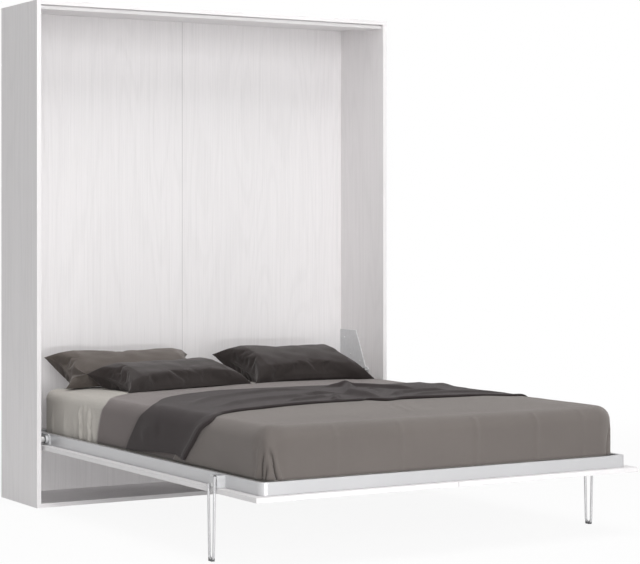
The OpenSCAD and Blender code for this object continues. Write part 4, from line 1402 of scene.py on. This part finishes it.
@dataclass(frozen=True)
class Lamp:
    """A large soft lamp: where it hangs, the point it faces, its size and its power in watts."""

    name: str
    at: Point
    to: Point
    size: tuple[float, float]
    power: float

    def hang(self) -> None:
        """Puts the lamp in its place."""
        data = bpy.data.lights.new(self.name, "AREA")
        data.shape, data.energy = "RECTANGLE", self.power
        data.size, data.size_y = self.size
        lamp = linked(self.name, data)
        lamp.location = self.at
        facing = Vector(self.to) - Vector(self.at)
        lamp.rotation_euler = facing.to_track_quat("-Z", "Y").to_euler()


@dataclass
class Studio:
    """Pale floor, soft lamps and the camera.

    ambient is the room's own light. floor_glow is how white the floor is seen under the bed; it
    fades to full white between the two distances of floor_fade.
    """

    eye: Point = (-4.262, -8.144, 1.2327)
    heading: float = 30.1
    lens: float = 109.3
    sensor: float = 36.0
    shift: tuple[float, float] = (0.0875, -0.0928)
    ambient: float = 0.40
    floor_glow: float = 0.91
    floor_fade: tuple[float, float] = (2.2, 5.0)
    lamps: tuple[Lamp, ...] = (
        Lamp("key", (-4.2, -14.5, 5.0), (0.0, -0.9, 0.9), (8.0, 6.0), 630),
        Lamp("overhead", (-0.2, -3.2, 7.0), (0.0, -1.2, 0.5), (4.5, 4.5), 250),
        Lamp("low_fill", (-1.0, -6.5, 0.22), (-0.2, 0.0, 0.14), (3.2, 0.40), 82))

    def build(self) -> None:
        """Makes the camera, the floor, the world and the lamps."""
        self.camera()
        self.floor()
        self.world()
        for lamp in self.lamps:
            lamp.hang()
        bpy.context.scene.view_settings.view_transform = "Standard"

    def camera(self) -> None:
        """Sets the camera at the eye, level, with the frame shifted and not tilted."""
        data = bpy.data.cameras.new("camera")
        data.lens, data.sensor_width = self.lens, self.sensor
        data.shift_x, data.shift_y = self.shift
        data.clip_end = 100.0
        camera = linked("camera", data)
        camera.location = self.eye
        camera.rotation_euler = (QUARTER_TURN, 0.0, -math.radians(self.heading))
        bpy.context.scene.camera = camera

    def floor(self) -> None:
        """Lays a wide pale floor that shows white and keeps a faint shadow of the bed."""
        mesh = bmesh.new()
        bmesh.ops.create_grid(mesh, x_segments=8, y_segments=8, size=60.0)
        shader = Shader("studio_floor", {"Base Color": (0.88, 0.88, 0.88), "Roughness": 0.9})
        glow = shader.add("ShaderNodeEmission", None, {"Color": WHITE, "Strength": 1.0})
        across, deep, _ = shader.split(shader.place())
        far = (across ** 2 + (deep + 1.2) ** 2) ** 0.5
        share = self.floor_glow + (1 - self.floor_glow) * far.eased(*self.floor_fade)
        paint = Field(shader, shader.surface.outputs[0])
        shader.end(shader.seen() * share, paint, glow)
        data = as_mesh("studio_floor", mesh)
        data.materials.append(shader.material)
        floor = linked("studio_floor", data)
        floor.location.z = -0.0005

    def world(self) -> None:
        """Fills the room with a soft white light, plain white where it is seen."""
        world = bpy.data.worlds.new("studio_world")
        world.use_nodes = True
        bpy.context.scene.world = world
        room = Nodes(world.node_tree)
        sky = room.tree.nodes["Background"]
        room.feed(sky.inputs["Color"], (self.ambient,) * 3)
        white = room.add("ShaderNodeBackground", None, {"Color": WHITE})
        room.end(room.seen(), Field(room, sky.outputs[0]), white)


def main() -> None:
    """Builds the dressed bed in order: studio, bedding, then the finishes of the rigid parts."""
    logging.basicConfig(level=logging.INFO, format="%(message)s")
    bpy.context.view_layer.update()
    finishes = Finishes()
    Studio().build()
    Bedding(finishes).build()
    HardParts(finishes).dress()


if __name__ == "__main__":
    main()
